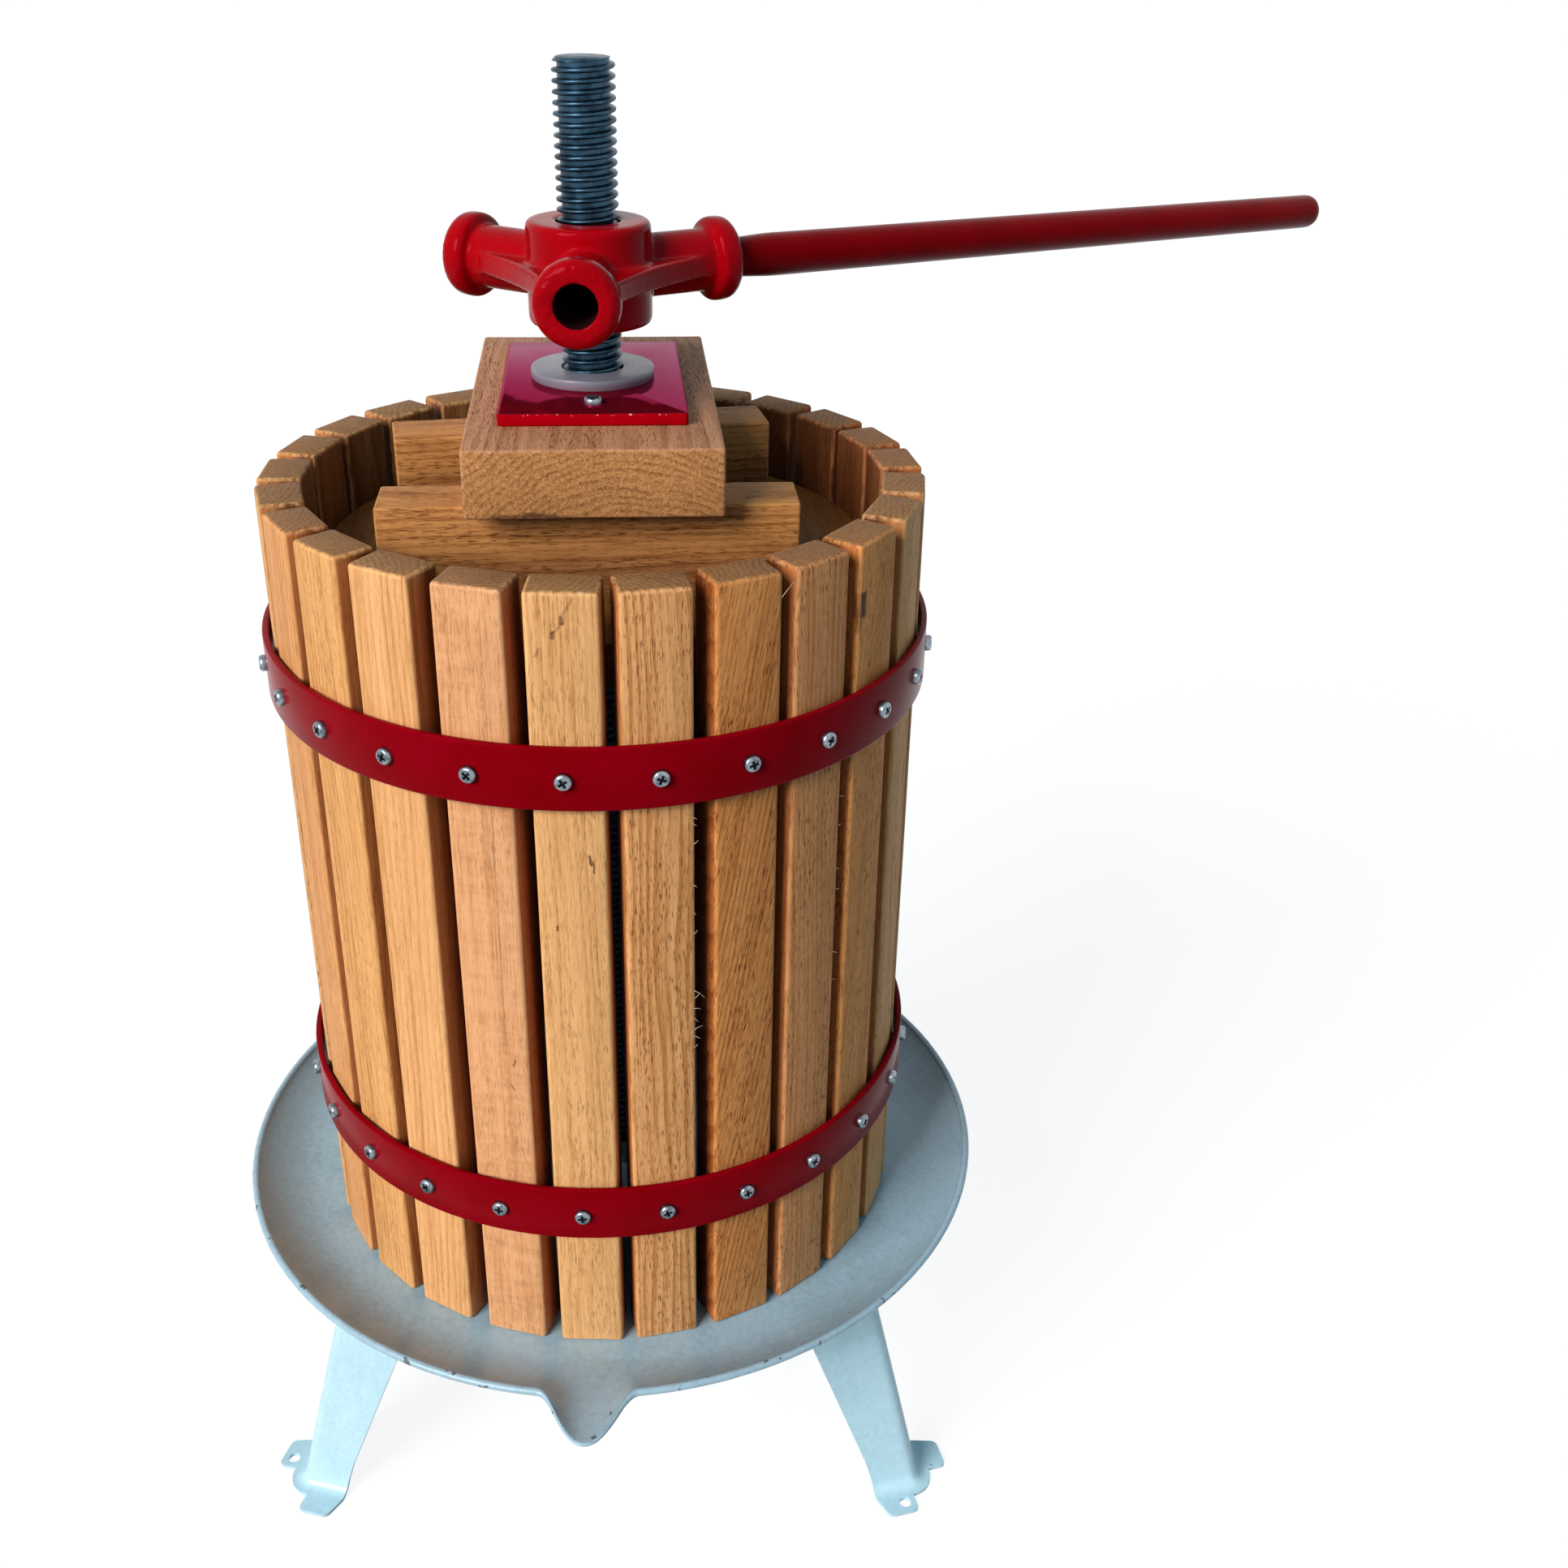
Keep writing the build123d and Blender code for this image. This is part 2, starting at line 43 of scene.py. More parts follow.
UP = Vector((0.0, 0.0, 1.0))

# Sizes in millimetres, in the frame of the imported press: floor at 0, spindle axis on Z, spout at -Y
TRAY_FLOOR = 153.5
TRAY_SHEET = 2.0
TRAY_HOLE_RADIUS = 13.5
TRAY_FLAT_RADIUS = 152.0
TRAY_RIM_RADIUS = 186.0
TRAY_RIM = 167.5
LIP_RADIUS = 1.8
SPOUT_ANGLE = -90.0
SPOUT_HALF_ANGLE = 7.0
SPOUT_REACH = 23.0
SPOUT_FALL = 5.0
SPINDLE_RADIUS = 12.5
SPINDLE_BOTTOM = 128.5
SPINDLE_TOP = 688.3
THREAD_PITCH = 4.0
THREAD_DEPTH = 2.2
SLAT_COUNT = 25
SLAT_START = -91.2
SLAT_INNER_RADIUS = 123.0
SLAT_THICKNESS = 19.0
SLAT_WIDTH = 28.18
SLAT_LENGTH = 370.0
HOOP_INNER_RADIUS = 143.42
HOOP_OUTER_RADIUS = 146.42
HOOP_WIDTH = 27.0
HOOP_HEIGHTS = {"lower": 233.5, "upper": 449.0}
STACK_TURN = 4.6
SLIDE_BORE = 12.9
BOARD_RADIUS = 117.0
BOARD_THICKNESS = 20.0
BOARD_GAP = 1.0
BOARD_BOTTOM = 472.6
BATTEN_SIZE = (167.4, 28.0, 39.0)
BATTEN_BOTTOM = 492.6
BLOCK_SIZE = (100.5, 174.0, 27.5)
BLOCK_BOTTOM = 531.6
PLATE_SIZE = (75.0, 114.0, 5.0)
PLATE_SCREW_OFFSET = 42.0
PLATE_BOTTOM = 559.1
WASHER_RADIUS = 25.75
WASHER_BOTTOM = 564.1
WASHER_TOP = 568.3
ARM_HEIGHT = 607.1
ARM_REACH = 65.0
SOCKET_DEPTH = 34.0
SOCKET_RADIUS = 8.4
ARM_ANGLES = (-90.0, 30.0, 150.0)
HANDLE_ANGLE = 30.0
HANDLE_DROOP = 0.971
LEG_ANGLES = {"leg_front_right": -30.0, "leg_rear": 90.0, "leg_front_left": 210.0}
LEG_SHEET = 2.0
LEG_HEIGHT = 151.5
LEG_FOOT_RADIUS = 189.0
LEG_TOP_RADIUS = 147.0
LEG_FOOT_FLANGE = 23.5
LEG_TOP_FLANGE = 48.0
FOOT_HOLE_OUT = 10.0
FOOT_HOLE_ALONG = 13.0
FOOT_HOLE_RADIUS = 3.0


# Node wiring

class Wire:
    """An output of a node. Sums, differences, products and quotients of wires add Math nodes."""

    def __init__(self, wiring, socket):
        self.wiring = wiring
        self.socket = socket

    def math(self, operation, *others):
        return self.wiring.math(operation, self, *others)

    def __add__(self, other):
        return self.math("ADD", other)

    __radd__ = __add__

    def __sub__(self, other):
        return self.math("SUBTRACT", other)

    def __rsub__(self, other):
        return self.wiring.math("SUBTRACT", other, self)

    def __mul__(self, other):
        return self.math("MULTIPLY", other)

    __rmul__ = __mul__

    def __truediv__(self, other):
        return self.math("DIVIDE", other)

    def rise(self, low, high):
        """0 below low, 1 above high, with a soft step between them."""
        return self.wiring.node(
            "ShaderNodeMapRange",
            {"interpolation_type": "SMOOTHSTEP"},
            {"Value": self, "From Min": low, "From Max": high},
        )

    def vector(self, operation, other, output=0):
        return self.wiring.node(
            "ShaderNodeVectorMath", {"operation": operation}, {0: self, 1: other}, output
        )

    def stretch(self, factors):
        """A position scaled along its own axes."""
        return self.vector("MULTIPLY", factors)

    def length(self):
        return self.vector("LENGTH", ORIGIN, 1)

    def dot(self, direction):
        return self.vector("DOT_PRODUCT", direction, 1)

    def split(self):
        """The three numbers of a vector."""
        return [self.wiring.node("ShaderNodeSeparateXYZ", {}, {0: self}, part) for part in range(3)]


class Wiring:
    """Adds nodes to a node tree."""

    def __init__(self, tree):
        self.tree = tree

    def node(self, kind, settings, sockets, output=0):
        """Add a node: its settings first, then the values or wires of its sockets."""
        added = self.tree.nodes.new(kind)
        for name, value in settings.items():
            setattr(added, name, value)
        for name, value in sockets.items():
            if isinstance(value, Wire):
                self.tree.links.new(value.socket, added.inputs[name])
            else:
                added.inputs[name].default_value = value
        return Wire(self, added.outputs[output])

    def math(self, operation, *values):
        return self.node("ShaderNodeMath", {"operation": operation}, dict(enumerate(values)))

    def seen(self):
        """1 for what the camera, a reflection or glass sees, 0 for light on the object."""
        camera, glossy, through = (
            self.node("ShaderNodeLightPath", {}, {}, name)
            for name in ("Is Camera Ray", "Is Glossy Ray", "Is Transmission Ray")
        )
        return (camera + glossy + through).math("MINIMUM", 1.0)


class Finish(Wiring):
    """A material under construction: its nodes, and the shader they feed."""

    def __init__(self, name, **constants):
        self.material = bpy.data.materials.new(name)
        self.material.use_nodes = True
        super().__init__(self.material.node_tree)
        self.shader = self.tree.nodes["Principled BSDF"]
        for socket, value in constants.items():
            self.shader.inputs[socket.replace("_", " ")].default_value = value

    def place(self):
        return self.node("ShaderNodeTexCoord", {}, {}, "Object")

    def attribute(self, name, output):
        return self.node("ShaderNodeAttribute", {"attribute_name": name}, {}, output)

    def normal(self):
        return self.node("ShaderNodeNewGeometry", {}, {}, "Normal")

    def noise(self, where, scale=1.0, detail=2.0, roughness=0.5, output=0):
        return self.node(
            "ShaderNodeTexNoise",
            {"noise_dimensions": "3D"},
            {"Vector": where, "Scale": scale, "Detail": detail, "Roughness": roughness},
            output,
        )

    def mix(self, share, first, second, blend="MIX"):
        return self.node(
            "ShaderNodeMix",
            {"data_type": "RGBA", "blend_type": blend, "clamp_factor": True},
            {0: share, 6: first, 7: second},
            2,
        )

    def bump(self, height, distance, strength):
        wire = self.node(
            "ShaderNodeBump", {}, {"Height": height, "Distance": distance, "Strength": strength}
        )
        self.feed("Normal", wire)

    def feed(self, socket, wire):
        self.tree.links.new(wire.socket, self.shader.inputs[socket])


# Finishes

def rgba(red, green, blue):
    return (red, green, blue, 1.0)


def paler(colour, factor):
    return rgba(*(min(1.0, factor * part) for part in colour[:3]))


# Shades that darken wood when they are multiplied with it, some of them painted shade, and colours of
# cracks and chips and of painted shade in sockets and screw recesses
PORE_SHADE = rgba(0.36, 0.24, 0.15)
SAWN_PORE_SHADE = rgba(0.34, 0.26, 0.2)
SAWN_RING_SHADE = rgba(0.45, 0.38, 0.32)
# Painted shade inside the basket
INSIDE_PAINTED_SHADE = rgba(0.26, 0.20, 0.14)
# Painted shade on the flanks of slats, in the gaps between them
GAP_PAINTED_SHADE = rgba(0.72, 0.54, 0.44)
# Painted shade towards the bottom of the battens
LOW_PAINTED_SHADE = rgba(0.42, 0.38, 0.42)
CRACK_BROWN = rgba(0.06, 0.022, 0.012)
# Painted shade in the bores of the sockets
SOCKET_PAINTED_SHADE = rgba(0.004, 0.003, 0.003)
PALE_CHIP = rgba(0.82, 0.60, 0.60)
DARK_CHIP = rgba(0.06, 0.05, 0.045)
# Painted shade in the cross recesses of screws
RECESS_PAINTED_SHADE = rgba(0.02, 0.02, 0.024)


def crack(place, start, end, width):
    """1 along a short crack between two points in metres, 0 beside it."""
    run = Vector(end) - Vector(start)
    rest = place.vector("SUBTRACT", (Vector(start) + Vector(end)) / 2)
    along = rest.dot(run.normalized())
    away = (rest.length() * rest.length() - along * along).math("MAXIMUM", 0.0).math("SQRT")
    return (1.0 - away.rise(0.3 * width, width)) * (
        1.0 - along.math("ABSOLUTE").rise(0.35 * run.length, 0.5 * run.length)
    )


def wood(name, light, dark, end_grain, fibre_axis, ring=2.6, cracks=(), painted_shade_radius=None, painted_shade_below=None):
    """Open-pored hardwood, laid out by attributes of its piece: grain, tint and habit from lay_grain, and
    arris from timber, where it is worn pale. Ring is a year's growth in millimetres. Each crack has its
    ends and width in metres, and its darkness. Painted shade darkens what lies inside its two radii in
    millimetres and the flanks facing into the gaps between slats, and more painted shade darkens what lies
    below its two heights in metres."""
    finish = Finish(name, IOR=1.45, Specular_IOR_Level=0.2)
    grain = finish.attribute("grain", "Vector")
    tint = finish.attribute("tint", "Color")
    curly, porous, lined = finish.attribute("habit", "Vector").split()

    def figure(across, along, detail=2.0, roughness=0.5):
        return finish.noise(grain.stretch((across, across, along)), 1.0, detail, roughness)

    wander = figure(0.03, 0.005)
    radius = grain.stretch((1.0, 1.0, 0.0)).length() + wander * 14.0
    year = (radius / ring).math("FRACT")
    strong = figure(0.2, 0.008).rise(0.3, 0.65)
    late = year.rise(0.25, 0.9) * (1.0 - year.rise(0.9, 1.0)) * (0.25 + 0.75 * strong)
    fibre = figure(1.3, 0.045, 5.0, 0.7)
    streak = figure(0.16, 0.004, 3.0, 0.55)
    dash = figure(1.7, 0.2)
    patch = figure(0.12, 0.012)
    pores = dash.rise(0.54, 0.66) * (0.4 + 0.6 * patch.rise(0.35, 0.65))
    curl = figure(0.06, 0.24, 2.0, 0.6)

    tone = 0.2 + late * lined * 1.4 + (fibre - 0.5) * 1.8 + (streak - 0.5) * 1.1 + (curl - 0.5) * curly
    colour = finish.mix(tone.rise(-0.15, 1.05), light, dark)
    colour = finish.mix(pores * porous, colour, PORE_SHADE, "MULTIPLY")
    colour = finish.mix(1.0, colour, tint, "MULTIPLY")
    ends = finish.normal().dot(fibre_axis).math("ABSOLUTE").rise(0.6, 0.95)
    speckle = figure(0.9, 0.4, 4.0, 0.75)
    sawn = finish.mix(speckle.rise(0.38, 0.66) * 0.75, end_grain, SAWN_PORE_SHADE, "MULTIPLY")
    sawn = finish.mix(late * 0.75, sawn, SAWN_RING_SHADE, "MULTIPLY")
    torn = figure(1.3, 0.5).rise(0.56, 0.68)
    sawn = finish.mix(torn * 0.45, sawn, paler(end_grain, 1.7))
    colour = finish.mix(ends * 0.85, colour, sawn)
    if cracks:
        place = finish.place()
        wobble = finish.noise(place, 260.0, 4.0, 0.75, 1).vector("SUBTRACT", (0.5, 0.5, 0.5))
        crooked = place.vector("ADD", wobble.stretch((0.0022, 0.0, 0.0022)))
        for start, end, width, share in cracks:
            split = crack(crooked, start, end, width)
            colour = finish.mix(split * share, colour, CRACK_BROWN)
    # Painted shade: darker inside the basket, and on the flanks of the slats in the gaps between them
    if painted_shade_radius:
        level = finish.place().stretch((MM_PER_M, MM_PER_M, 0.0))
        inward = 1.0 - level.length().rise(*painted_shade_radius)
        facing = finish.normal().dot(level.vector("NORMALIZE", ORIGIN)).math("ABSOLUTE")
        flank = (1.0 - facing.rise(0.25, 0.75)) * (1.0 - ends)
        shade_blotch = figure(0.06, 0.01, 3.0).rise(0.2, 0.7)
        share = inward * (0.75 + 0.25 * shade_blotch) * (1.0 - 0.9 * ends)
        colour = finish.mix(share, colour, INSIDE_PAINTED_SHADE, "MULTIPLY")
        colour = finish.mix(flank, colour, GAP_PAINTED_SHADE, "MULTIPLY")
    # Painted shade: darker towards the bottom, where the tops of the slats shade the battens
    if painted_shade_below:
        low_shade = 1.0 - finish.place().split()[2].rise(*painted_shade_below)
        colour = finish.mix(low_shade * 0.9, colour, LOW_PAINTED_SHADE, "MULTIPLY")
    rubbed = figure(0.4, 0.06, 3.0, 0.65).rise(0.35, 0.65)
    worn = finish.mix(1.0, paler(light, 1.15), tint, "MULTIPLY")
    colour = finish.mix(finish.attribute("arris", "Fac") * rubbed * 0.6, colour, worn)
    finish.feed("Base Color", colour)
    finish.feed("Roughness", 0.6 + 0.3 * (fibre - 0.5) + 0.15 * pores)
    finish.bump(fibre * 0.5 - pores * porous - late * 0.2, 0.00025, 0.6)
    return finish.material


def gloss_paint(name, colour, deep, glint, shine, roughness, grit, grit_depth, chipped=None, mirror=None):
    """Glossy enamel over metal. Glint and shine are the colour and share of its reflection, grit the bumps
    a metre of the surface under it, grit_depth their depth in metres. Chipped is a line in metres with
    specks of lost paint, and mirror the colour of faces that look up, where the enamel has flowed out."""
    finish = Finish(name, Specular_IOR_Level=shine, Specular_Tint=glint)
    place = finish.place()
    cloud = finish.noise(place, 38.0, 3.0, 0.6)
    grain = finish.noise(place, grit, 3.0, 0.55)
    pits = finish.noise(place, grit * 1.7, 1.0).rise(0.70, 0.80)
    bore = finish.attribute("bore", "Fac")
    paint = finish.mix(cloud.rise(0.3, 0.75) * 0.7 + pits * 0.3, colour, deep)
    if mirror:
        level = finish.normal().dot(UP).rise(0.6, 0.95)
        paint = finish.mix(level, paint, mirror)
        finish.feed("Metallic", level * 0.6)
    if chipped:
        specks = finish.noise(place, 860.0, 1.0).rise(0.64, 0.68)
        paint = finish.mix(crack(place, *chipped, 0.0006) * specks, paint, PALE_CHIP)
    # Painted shade: the bores of the sockets are near black
    finish.feed("Base Color", finish.mix(bore * 0.97, paint, SOCKET_PAINTED_SHADE))
    finish.feed("Roughness", roughness + 0.06 * cloud + 0.2 * pits + 0.6 * bore)
    finish.bump(grain - pits * 0.8, grit_depth, 1.0)
    return finish.material


def sheet_paint(name, colour, dull, roughness, chipped, rim=None):
    """Pale stoved paint on pressed sheet, with a faint orange peel, dulling and a few small chips. There
    are more chips along a rim, given as two radii in metres."""
    finish = Finish(name, IOR=1.5, Coat_Roughness=0.12)
    place = finish.place()
    cloud = finish.noise(place, 14.0, 4.0, 0.6)
    peel = finish.noise(place, 700.0, 2.0)
    smear = finish.noise(place.stretch((60.0, 60.0, 22.0)), 1.0, 4.0, 0.65)
    speck = finish.noise(place, 330.0, 3.0, 0.7)
    limit = chipped
    if rim:
        limit = chipped - 0.115 * place.stretch((1.0, 1.0, 0.0)).length().rise(*rim)
    chips = finish.noise(place, 160.0, 2.0, 0.4).rise(limit, limit + 0.02)
    dulled = cloud.rise(0.35, 0.75) * 0.4 + smear.rise(0.5, 0.8) * 0.3 + (speck - 0.45) * 1.6
    colour = finish.mix(dulled, colour, dull)
    finish.feed("Base Color", finish.mix(chips * 0.8, colour, DARK_CHIP))
    finish.feed("Roughness", roughness + 0.18 * (smear - 0.5) + 0.25 * chips)
    finish.feed("Coat Weight", 0.35 - 0.25 * chips)
    finish.bump(peel * 0.35 + speck * 0.5 - chips, 0.00012, 0.6)
    return finish.material


def bare_metal(name, colour, dark, roughness, scale):
    """Plated or turned metal with tarnish and fine scratches, and painted shade in recesses where a piece
    has any marked.
    """
    finish = Finish(name, Metallic=1.0)
    place = finish.place()
    recess_shade = finish.attribute("recess_shade", "Fac")
    cloud = finish.noise(place, scale, 4.0, 0.6)
    fine = finish.noise(place.stretch((1.0, 1.0, 6.0)), scale * 9.0, 2.0)
    metal = finish.mix(cloud.rise(0.35, 0.7), colour, dark)
    # Painted shade: marked recesses turn near black
    finish.feed("Base Color", finish.mix(recess_shade * 0.95, metal, RECESS_PAINTED_SHADE))
    finish.feed("Roughness", roughness + 0.22 * (cloud - 0.5) + 0.14 * (fine - 0.5) + 0.4 * recess_shade)
    finish.bump(fine, 0.00004, 0.5)
    return finish.material


def raw_fibre(name, colour, dark):
    """Fibres torn out of the wood, paler than its face."""
    finish = Finish(name, Specular_IOR_Level=0.2)
    cloud = finish.noise(finish.place(), 700.0, 2.0)
    finish.feed("Base Color", finish.mix(cloud.rise(0.35, 0.7), colour, dark))
    finish.feed("Roughness", 0.55 + 0.3 * cloud)
    return finish.material


def nylon(name, colour, dark, marks):
    """Moulded plastic: faint circles about the spindle axis, and ring marks of the mould about points in
    metres."""
    finish = Finish(name, IOR=1.53, Coat_Weight=0.2, Coat_Roughness=0.2)
    place = finish.place()
    turned = finish.node(
        "ShaderNodeTexNoise",
        {"noise_dimensions": "1D"},
        {"W": place.stretch((1.0, 1.0, 0.0)).length() * 900.0, "Scale": 1.0, "Detail": 2.0},
    )
    cloud = finish.noise(place, 90.0, 3.0)
    shade = turned.rise(0.4, 0.75) * 0.5 + cloud.rise(0.4, 0.8) * 0.4
    for centre in marks:
        away = place.vector("SUBTRACT", centre).stretch((1.0, 1.0, 0.0)).length()
        shade = shade + away.rise(0.0031, 0.0035) * (1.0 - away.rise(0.0036, 0.0040)) * 0.8
    finish.feed("Base Color", finish.mix(shade, colour, dark))
    finish.feed("Roughness", 0.3 + 0.2 * cloud)
    finish.bump(turned, 0.0001, 0.5)
    return finish.material


# Marks seen on the press, in metres
SLAT_CRACKS = (
    ((0.1113, -0.0890, 0.5045), (0.1111, -0.0893, 0.4915), 0.0046, 1.0),
    ((0.1103, -0.0906, 0.4930), (0.1100, -0.0910, 0.4860), 0.0022, 0.95),
    ((-0.0292, -0.1393, 0.3125), (-0.0302, -0.1390, 0.3085), 0.0006, 0.7),
    ((-0.0322, -0.1384, 0.2990), (-0.0296, -0.1391, 0.2960), 0.0006, 0.6),
    ((0.0033, -0.1421, 0.5222), (-0.0022, -0.1420, 0.5130), 0.0009, 0.38),
    ((-0.0018, -0.1420, 0.5146), (-0.0017, -0.1420, 0.5104), 0.0011, 0.65),
    ((-0.0010, -0.1420, 0.5122), (-0.0056, -0.1419, 0.5066), 0.0008, 0.42),
    ((-0.0049, -0.1419, 0.5086), (-0.0055, -0.1419, 0.5046), 0.0012, 0.65),
    ((-0.0102, -0.1418, 0.5020), (-0.0121, -0.1418, 0.4976), 0.0009, 0.35),
    ((0.0052, -0.1422, 0.4140), (0.0060, -0.1422, 0.4085), 0.0007, 0.85),
    ((0.0066, -0.1422, 0.4115), (0.0072, -0.1422, 0.4050), 0.0006, 0.8),
    ((-0.0086, -0.1419, 0.3810), (-0.0085, -0.1419, 0.3780), 0.0006, 0.9),
    ((-0.0317, -0.1386, 0.5200), (-0.0322, -0.1384, 0.4000), 0.0004, 0.25),
    ((-0.0319, -0.1385, 0.4400), (-0.0331, -0.1382, 0.3100), 0.0004, 0.4),
)
BLOCK_TEARS = (
    ((-0.0340, -0.0898, 0.5322), (-0.0180, -0.0890, 0.5326), 0.0017, 0.75),
    ((-0.0215, -0.0889, 0.5330), (-0.0065, -0.0883, 0.5324), 0.0020, 0.8),
    ((-0.0085, -0.0881, 0.5322), (-0.0010, -0.0877, 0.5320), 0.0012, 0.9),
)
PLATE_EDGE = ((-0.0318, -0.0597, 0.5638), (0.0410, -0.0539, 0.5638))
MOULD_MARKS = ((0.0174, 0.0, 0.0), (-0.0165, 0.0135, 0.0))
LILAC_GLINT = rgba(1.0, 0.32, 0.55)
CRIMSON_GLINT = rgba(1.0, 0.04, 0.25)
PLATE_GLINT = rgba(1.0, 0.52, 0.75)
# The slats carry painted shade inside the basket and in the gaps between them
slat_oak = wood(
    "slat_oak", rgba(0.84, 0.43, 0.175), rgba(0.50, 0.20, 0.055), rgba(0.34, 0.165, 0.066),
    (0.0, 0.0, 1.0), cracks=SLAT_CRACKS, painted_shade_radius=(129.0, 139.0),
)
# The battens carry painted shade towards their bottoms
batten_oak = wood(
    "batten_oak", rgba(0.66, 0.285, 0.088), rgba(0.35, 0.122, 0.026), rgba(0.44, 0.19, 0.06),
    (1.0, 0.08, 0.0), ring=3.4, painted_shade_below=(0.499, 0.524),
)
block_oak = wood(
    "block_oak", rgba(0.60, 0.28, 0.145), rgba(0.36, 0.15, 0.065), rgba(0.68, 0.30, 0.10),
    (-0.08, 1.0, 0.0), ring=3.0, cracks=BLOCK_TEARS,
)
# The boards' oak is made dark: painted shade under the battens and the block
shaded_board_oak = wood(
    "shaded_board_oak", rgba(0.19, 0.072, 0.013), rgba(0.09, 0.028, 0.004), rgba(0.16, 0.06, 0.012),
    (0.0, 1.0, 0.0), ring=4.0,
)
torn_fibre = raw_fibre("torn_fibre", rgba(0.86, 0.76, 0.60), rgba(0.66, 0.48, 0.28))
cast_red = gloss_paint(
    "cast_red", rgba(0.43, 0.0005, 0.004), rgba(0.28, 0.0005, 0.003), LILAC_GLINT,
    shine=0.06, roughness=0.1, grit=520.0, grit_depth=0.00012,
)
plate_red = gloss_paint(
    "plate_red", rgba(0.46, 0.0005, 0.006), rgba(0.36, 0.0005, 0.004), PLATE_GLINT,
    shine=0.0, roughness=0.05, grit=200.0, grit_depth=0.00002,
    chipped=PLATE_EDGE, mirror=rgba(0.24, 0.006, 0.016),
)
hoop_crimson = gloss_paint(
    "hoop_crimson", rgba(0.28, 0.0004, 0.006), rgba(0.21, 0.0004, 0.001), CRIMSON_GLINT,
    shine=0.04, roughness=0.2, grit=240.0, grit_depth=0.00004,
)
handle_crimson = gloss_paint(
    "handle_crimson", rgba(0.21, 0.0004, 0.001), rgba(0.14, 0.0004, 0.001), CRIMSON_GLINT,
    shine=0.1, roughness=0.24, grit=420.0, grit_depth=0.00006,
)
# The tray gets a darker copy of the legs' paint: painted shade over the dish
tray_grey_shaded = sheet_paint(
    "tray_grey_shaded", rgba(0.38, 0.55, 0.66), rgba(0.26, 0.36, 0.41),
    roughness=0.42, chipped=0.775, rim=(0.1815, 0.1835),
)
leg_grey = sheet_paint(
    "leg_grey", rgba(0.57, 0.81, 0.90), rgba(0.44, 0.66, 0.76), roughness=0.42, chipped=0.80
)
spindle_steel = bare_metal(
    "spindle_steel", rgba(0.038, 0.085, 0.13), rgba(0.013, 0.031, 0.05), roughness=0.36, scale=160.0
)
screw_zinc = bare_metal(
    "screw_zinc", rgba(0.31, 0.36, 0.41), rgba(0.11, 0.13, 0.15), roughness=0.24, scale=420.0
)
bush_bronze = bare_metal(
    "bush_bronze", rgba(0.52, 0.32, 0.13), rgba(0.30, 0.17, 0.07), roughness=0.34, scale=180.0
)
washer_nylon = nylon("washer_nylon", rgba(0.22, 0.21, 0.26), rgba(0.15, 0.145, 0.18), MOULD_MARKS)


# Workshop: turning, bevelling and hanging of pieces

def turn_about_z(degrees):
    return Matrix.Rotation(math.radians(degrees), 4, "Z")


def aim(way):
    """The turn that lays +Z along a direction."""
    return UP.rotation_difference(way).to_matrix().to_4x4()


def everything(bm):
    return bm.verts[:] + bm.edges[:] + bm.faces[:]


def verts_of(geom):
    return [item for item in geom if isinstance(item, bmesh.types.BMVert)]


def upright_edges(bm, least):
    return [edge for edge in bm.edges if abs(edge.verts[0].co.z - edge.verts[1].co.z) > least]


def add_copy(bm, mesh):
    """Add a copy of a mesh and return its vertices."""
    first = len(bm.verts)
    bm.from_mesh(mesh)
    bm.verts.ensure_lookup_table()
    return bm.verts[first:]


def rescale(bm, factor):
    bmesh.ops.scale(bm, vec=(factor, factor, factor), verts=bm.verts)


def new_piece(name, bm, place=Matrix()):
    """Make an object of a finished mesh in millimetres, put in its place."""
    bmesh.ops.transform(bm, matrix=place, verts=bm.verts)
    rescale(bm, 1.0 / MM_PER_M)
    mesh = bpy.data.meshes.new(name)
    bm.to_mesh(mesh)
    bm.free()
    piece = bpy.data.objects.new(name, mesh)
    bpy.context.scene.collection.objects.link(piece)
    return piece


def modify(piece, kind, **settings):
    """Add a modifier to a piece."""
    modifier = piece.modifiers.new(kind, kind)
    for name, value in settings.items():
        setattr(modifier, name, value)


def apply_modifiers(piece):
    """Turn a piece's modifiers into its mesh."""
    bpy.context.view_layer.update()
    worked = piece.evaluated_get(bpy.context.evaluated_depsgraph_get())
    mesh = bpy.data.meshes.new_from_object(worked)
    piece.modifiers.clear()
    piece.data = mesh


def hang(piece, body, nodes, finish, crease=35.0):
    """Give a piece its finish and hang it on its body in place of its CAD nodes."""
    piece.data.materials.clear()
    piece.data.materials.append(finish)
    piece.data.shade_smooth()
    piece.data.set_sharp_from_angle(angle=math.radians(crease))
    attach(piece, body)
    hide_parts(*nodes)


def drill(piece, start, end, radius):
    """Cut a round hole through a piece, from start to end in millimetres."""
    run = Vector(end) - Vector(start)
    bm = bmesh.new()
    bmesh.ops.create_cone(
        bm, cap_ends=True, segments=40, radius1=radius, radius2=radius, depth=run.length
    )
    middle = Matrix.Translation((Vector(start) + Vector(end)) / 2)
    cutter = new_piece("cutter", bm, middle @ aim(run))
    modify(piece, "BOOLEAN", operation="DIFFERENCE", object=cutter)
    apply_modifiers(piece)
    bpy.data.objects.remove(cutter)


def bore_for_spindle(piece, bottom, top):
    """Drill the sliding hole for the spindle. The drill runs past both faces."""
    drill(piece, (0.0, 0.0, bottom - 5.0), (0.0, 0.0, top + 5.0), SLIDE_BORE)


def sharp_edges(bm, angle=40.0):
    return [
        edge for edge in bm.edges
        if len(edge.link_faces) == 2 and edge.calc_face_angle() > math.radians(angle)
    ]


def round_edges(bm, edges, rounding, segments=3):
    bmesh.ops.bevel(
        bm, geom=edges, offset=rounding, segments=segments, profile=0.5, affect="EDGES",
        material=-1, clamp_overlap=True,
    )


WEAR_SEED = 1795671869  # without one, noise_vector starts from the clock
noise.seed_set(WEAR_SEED)


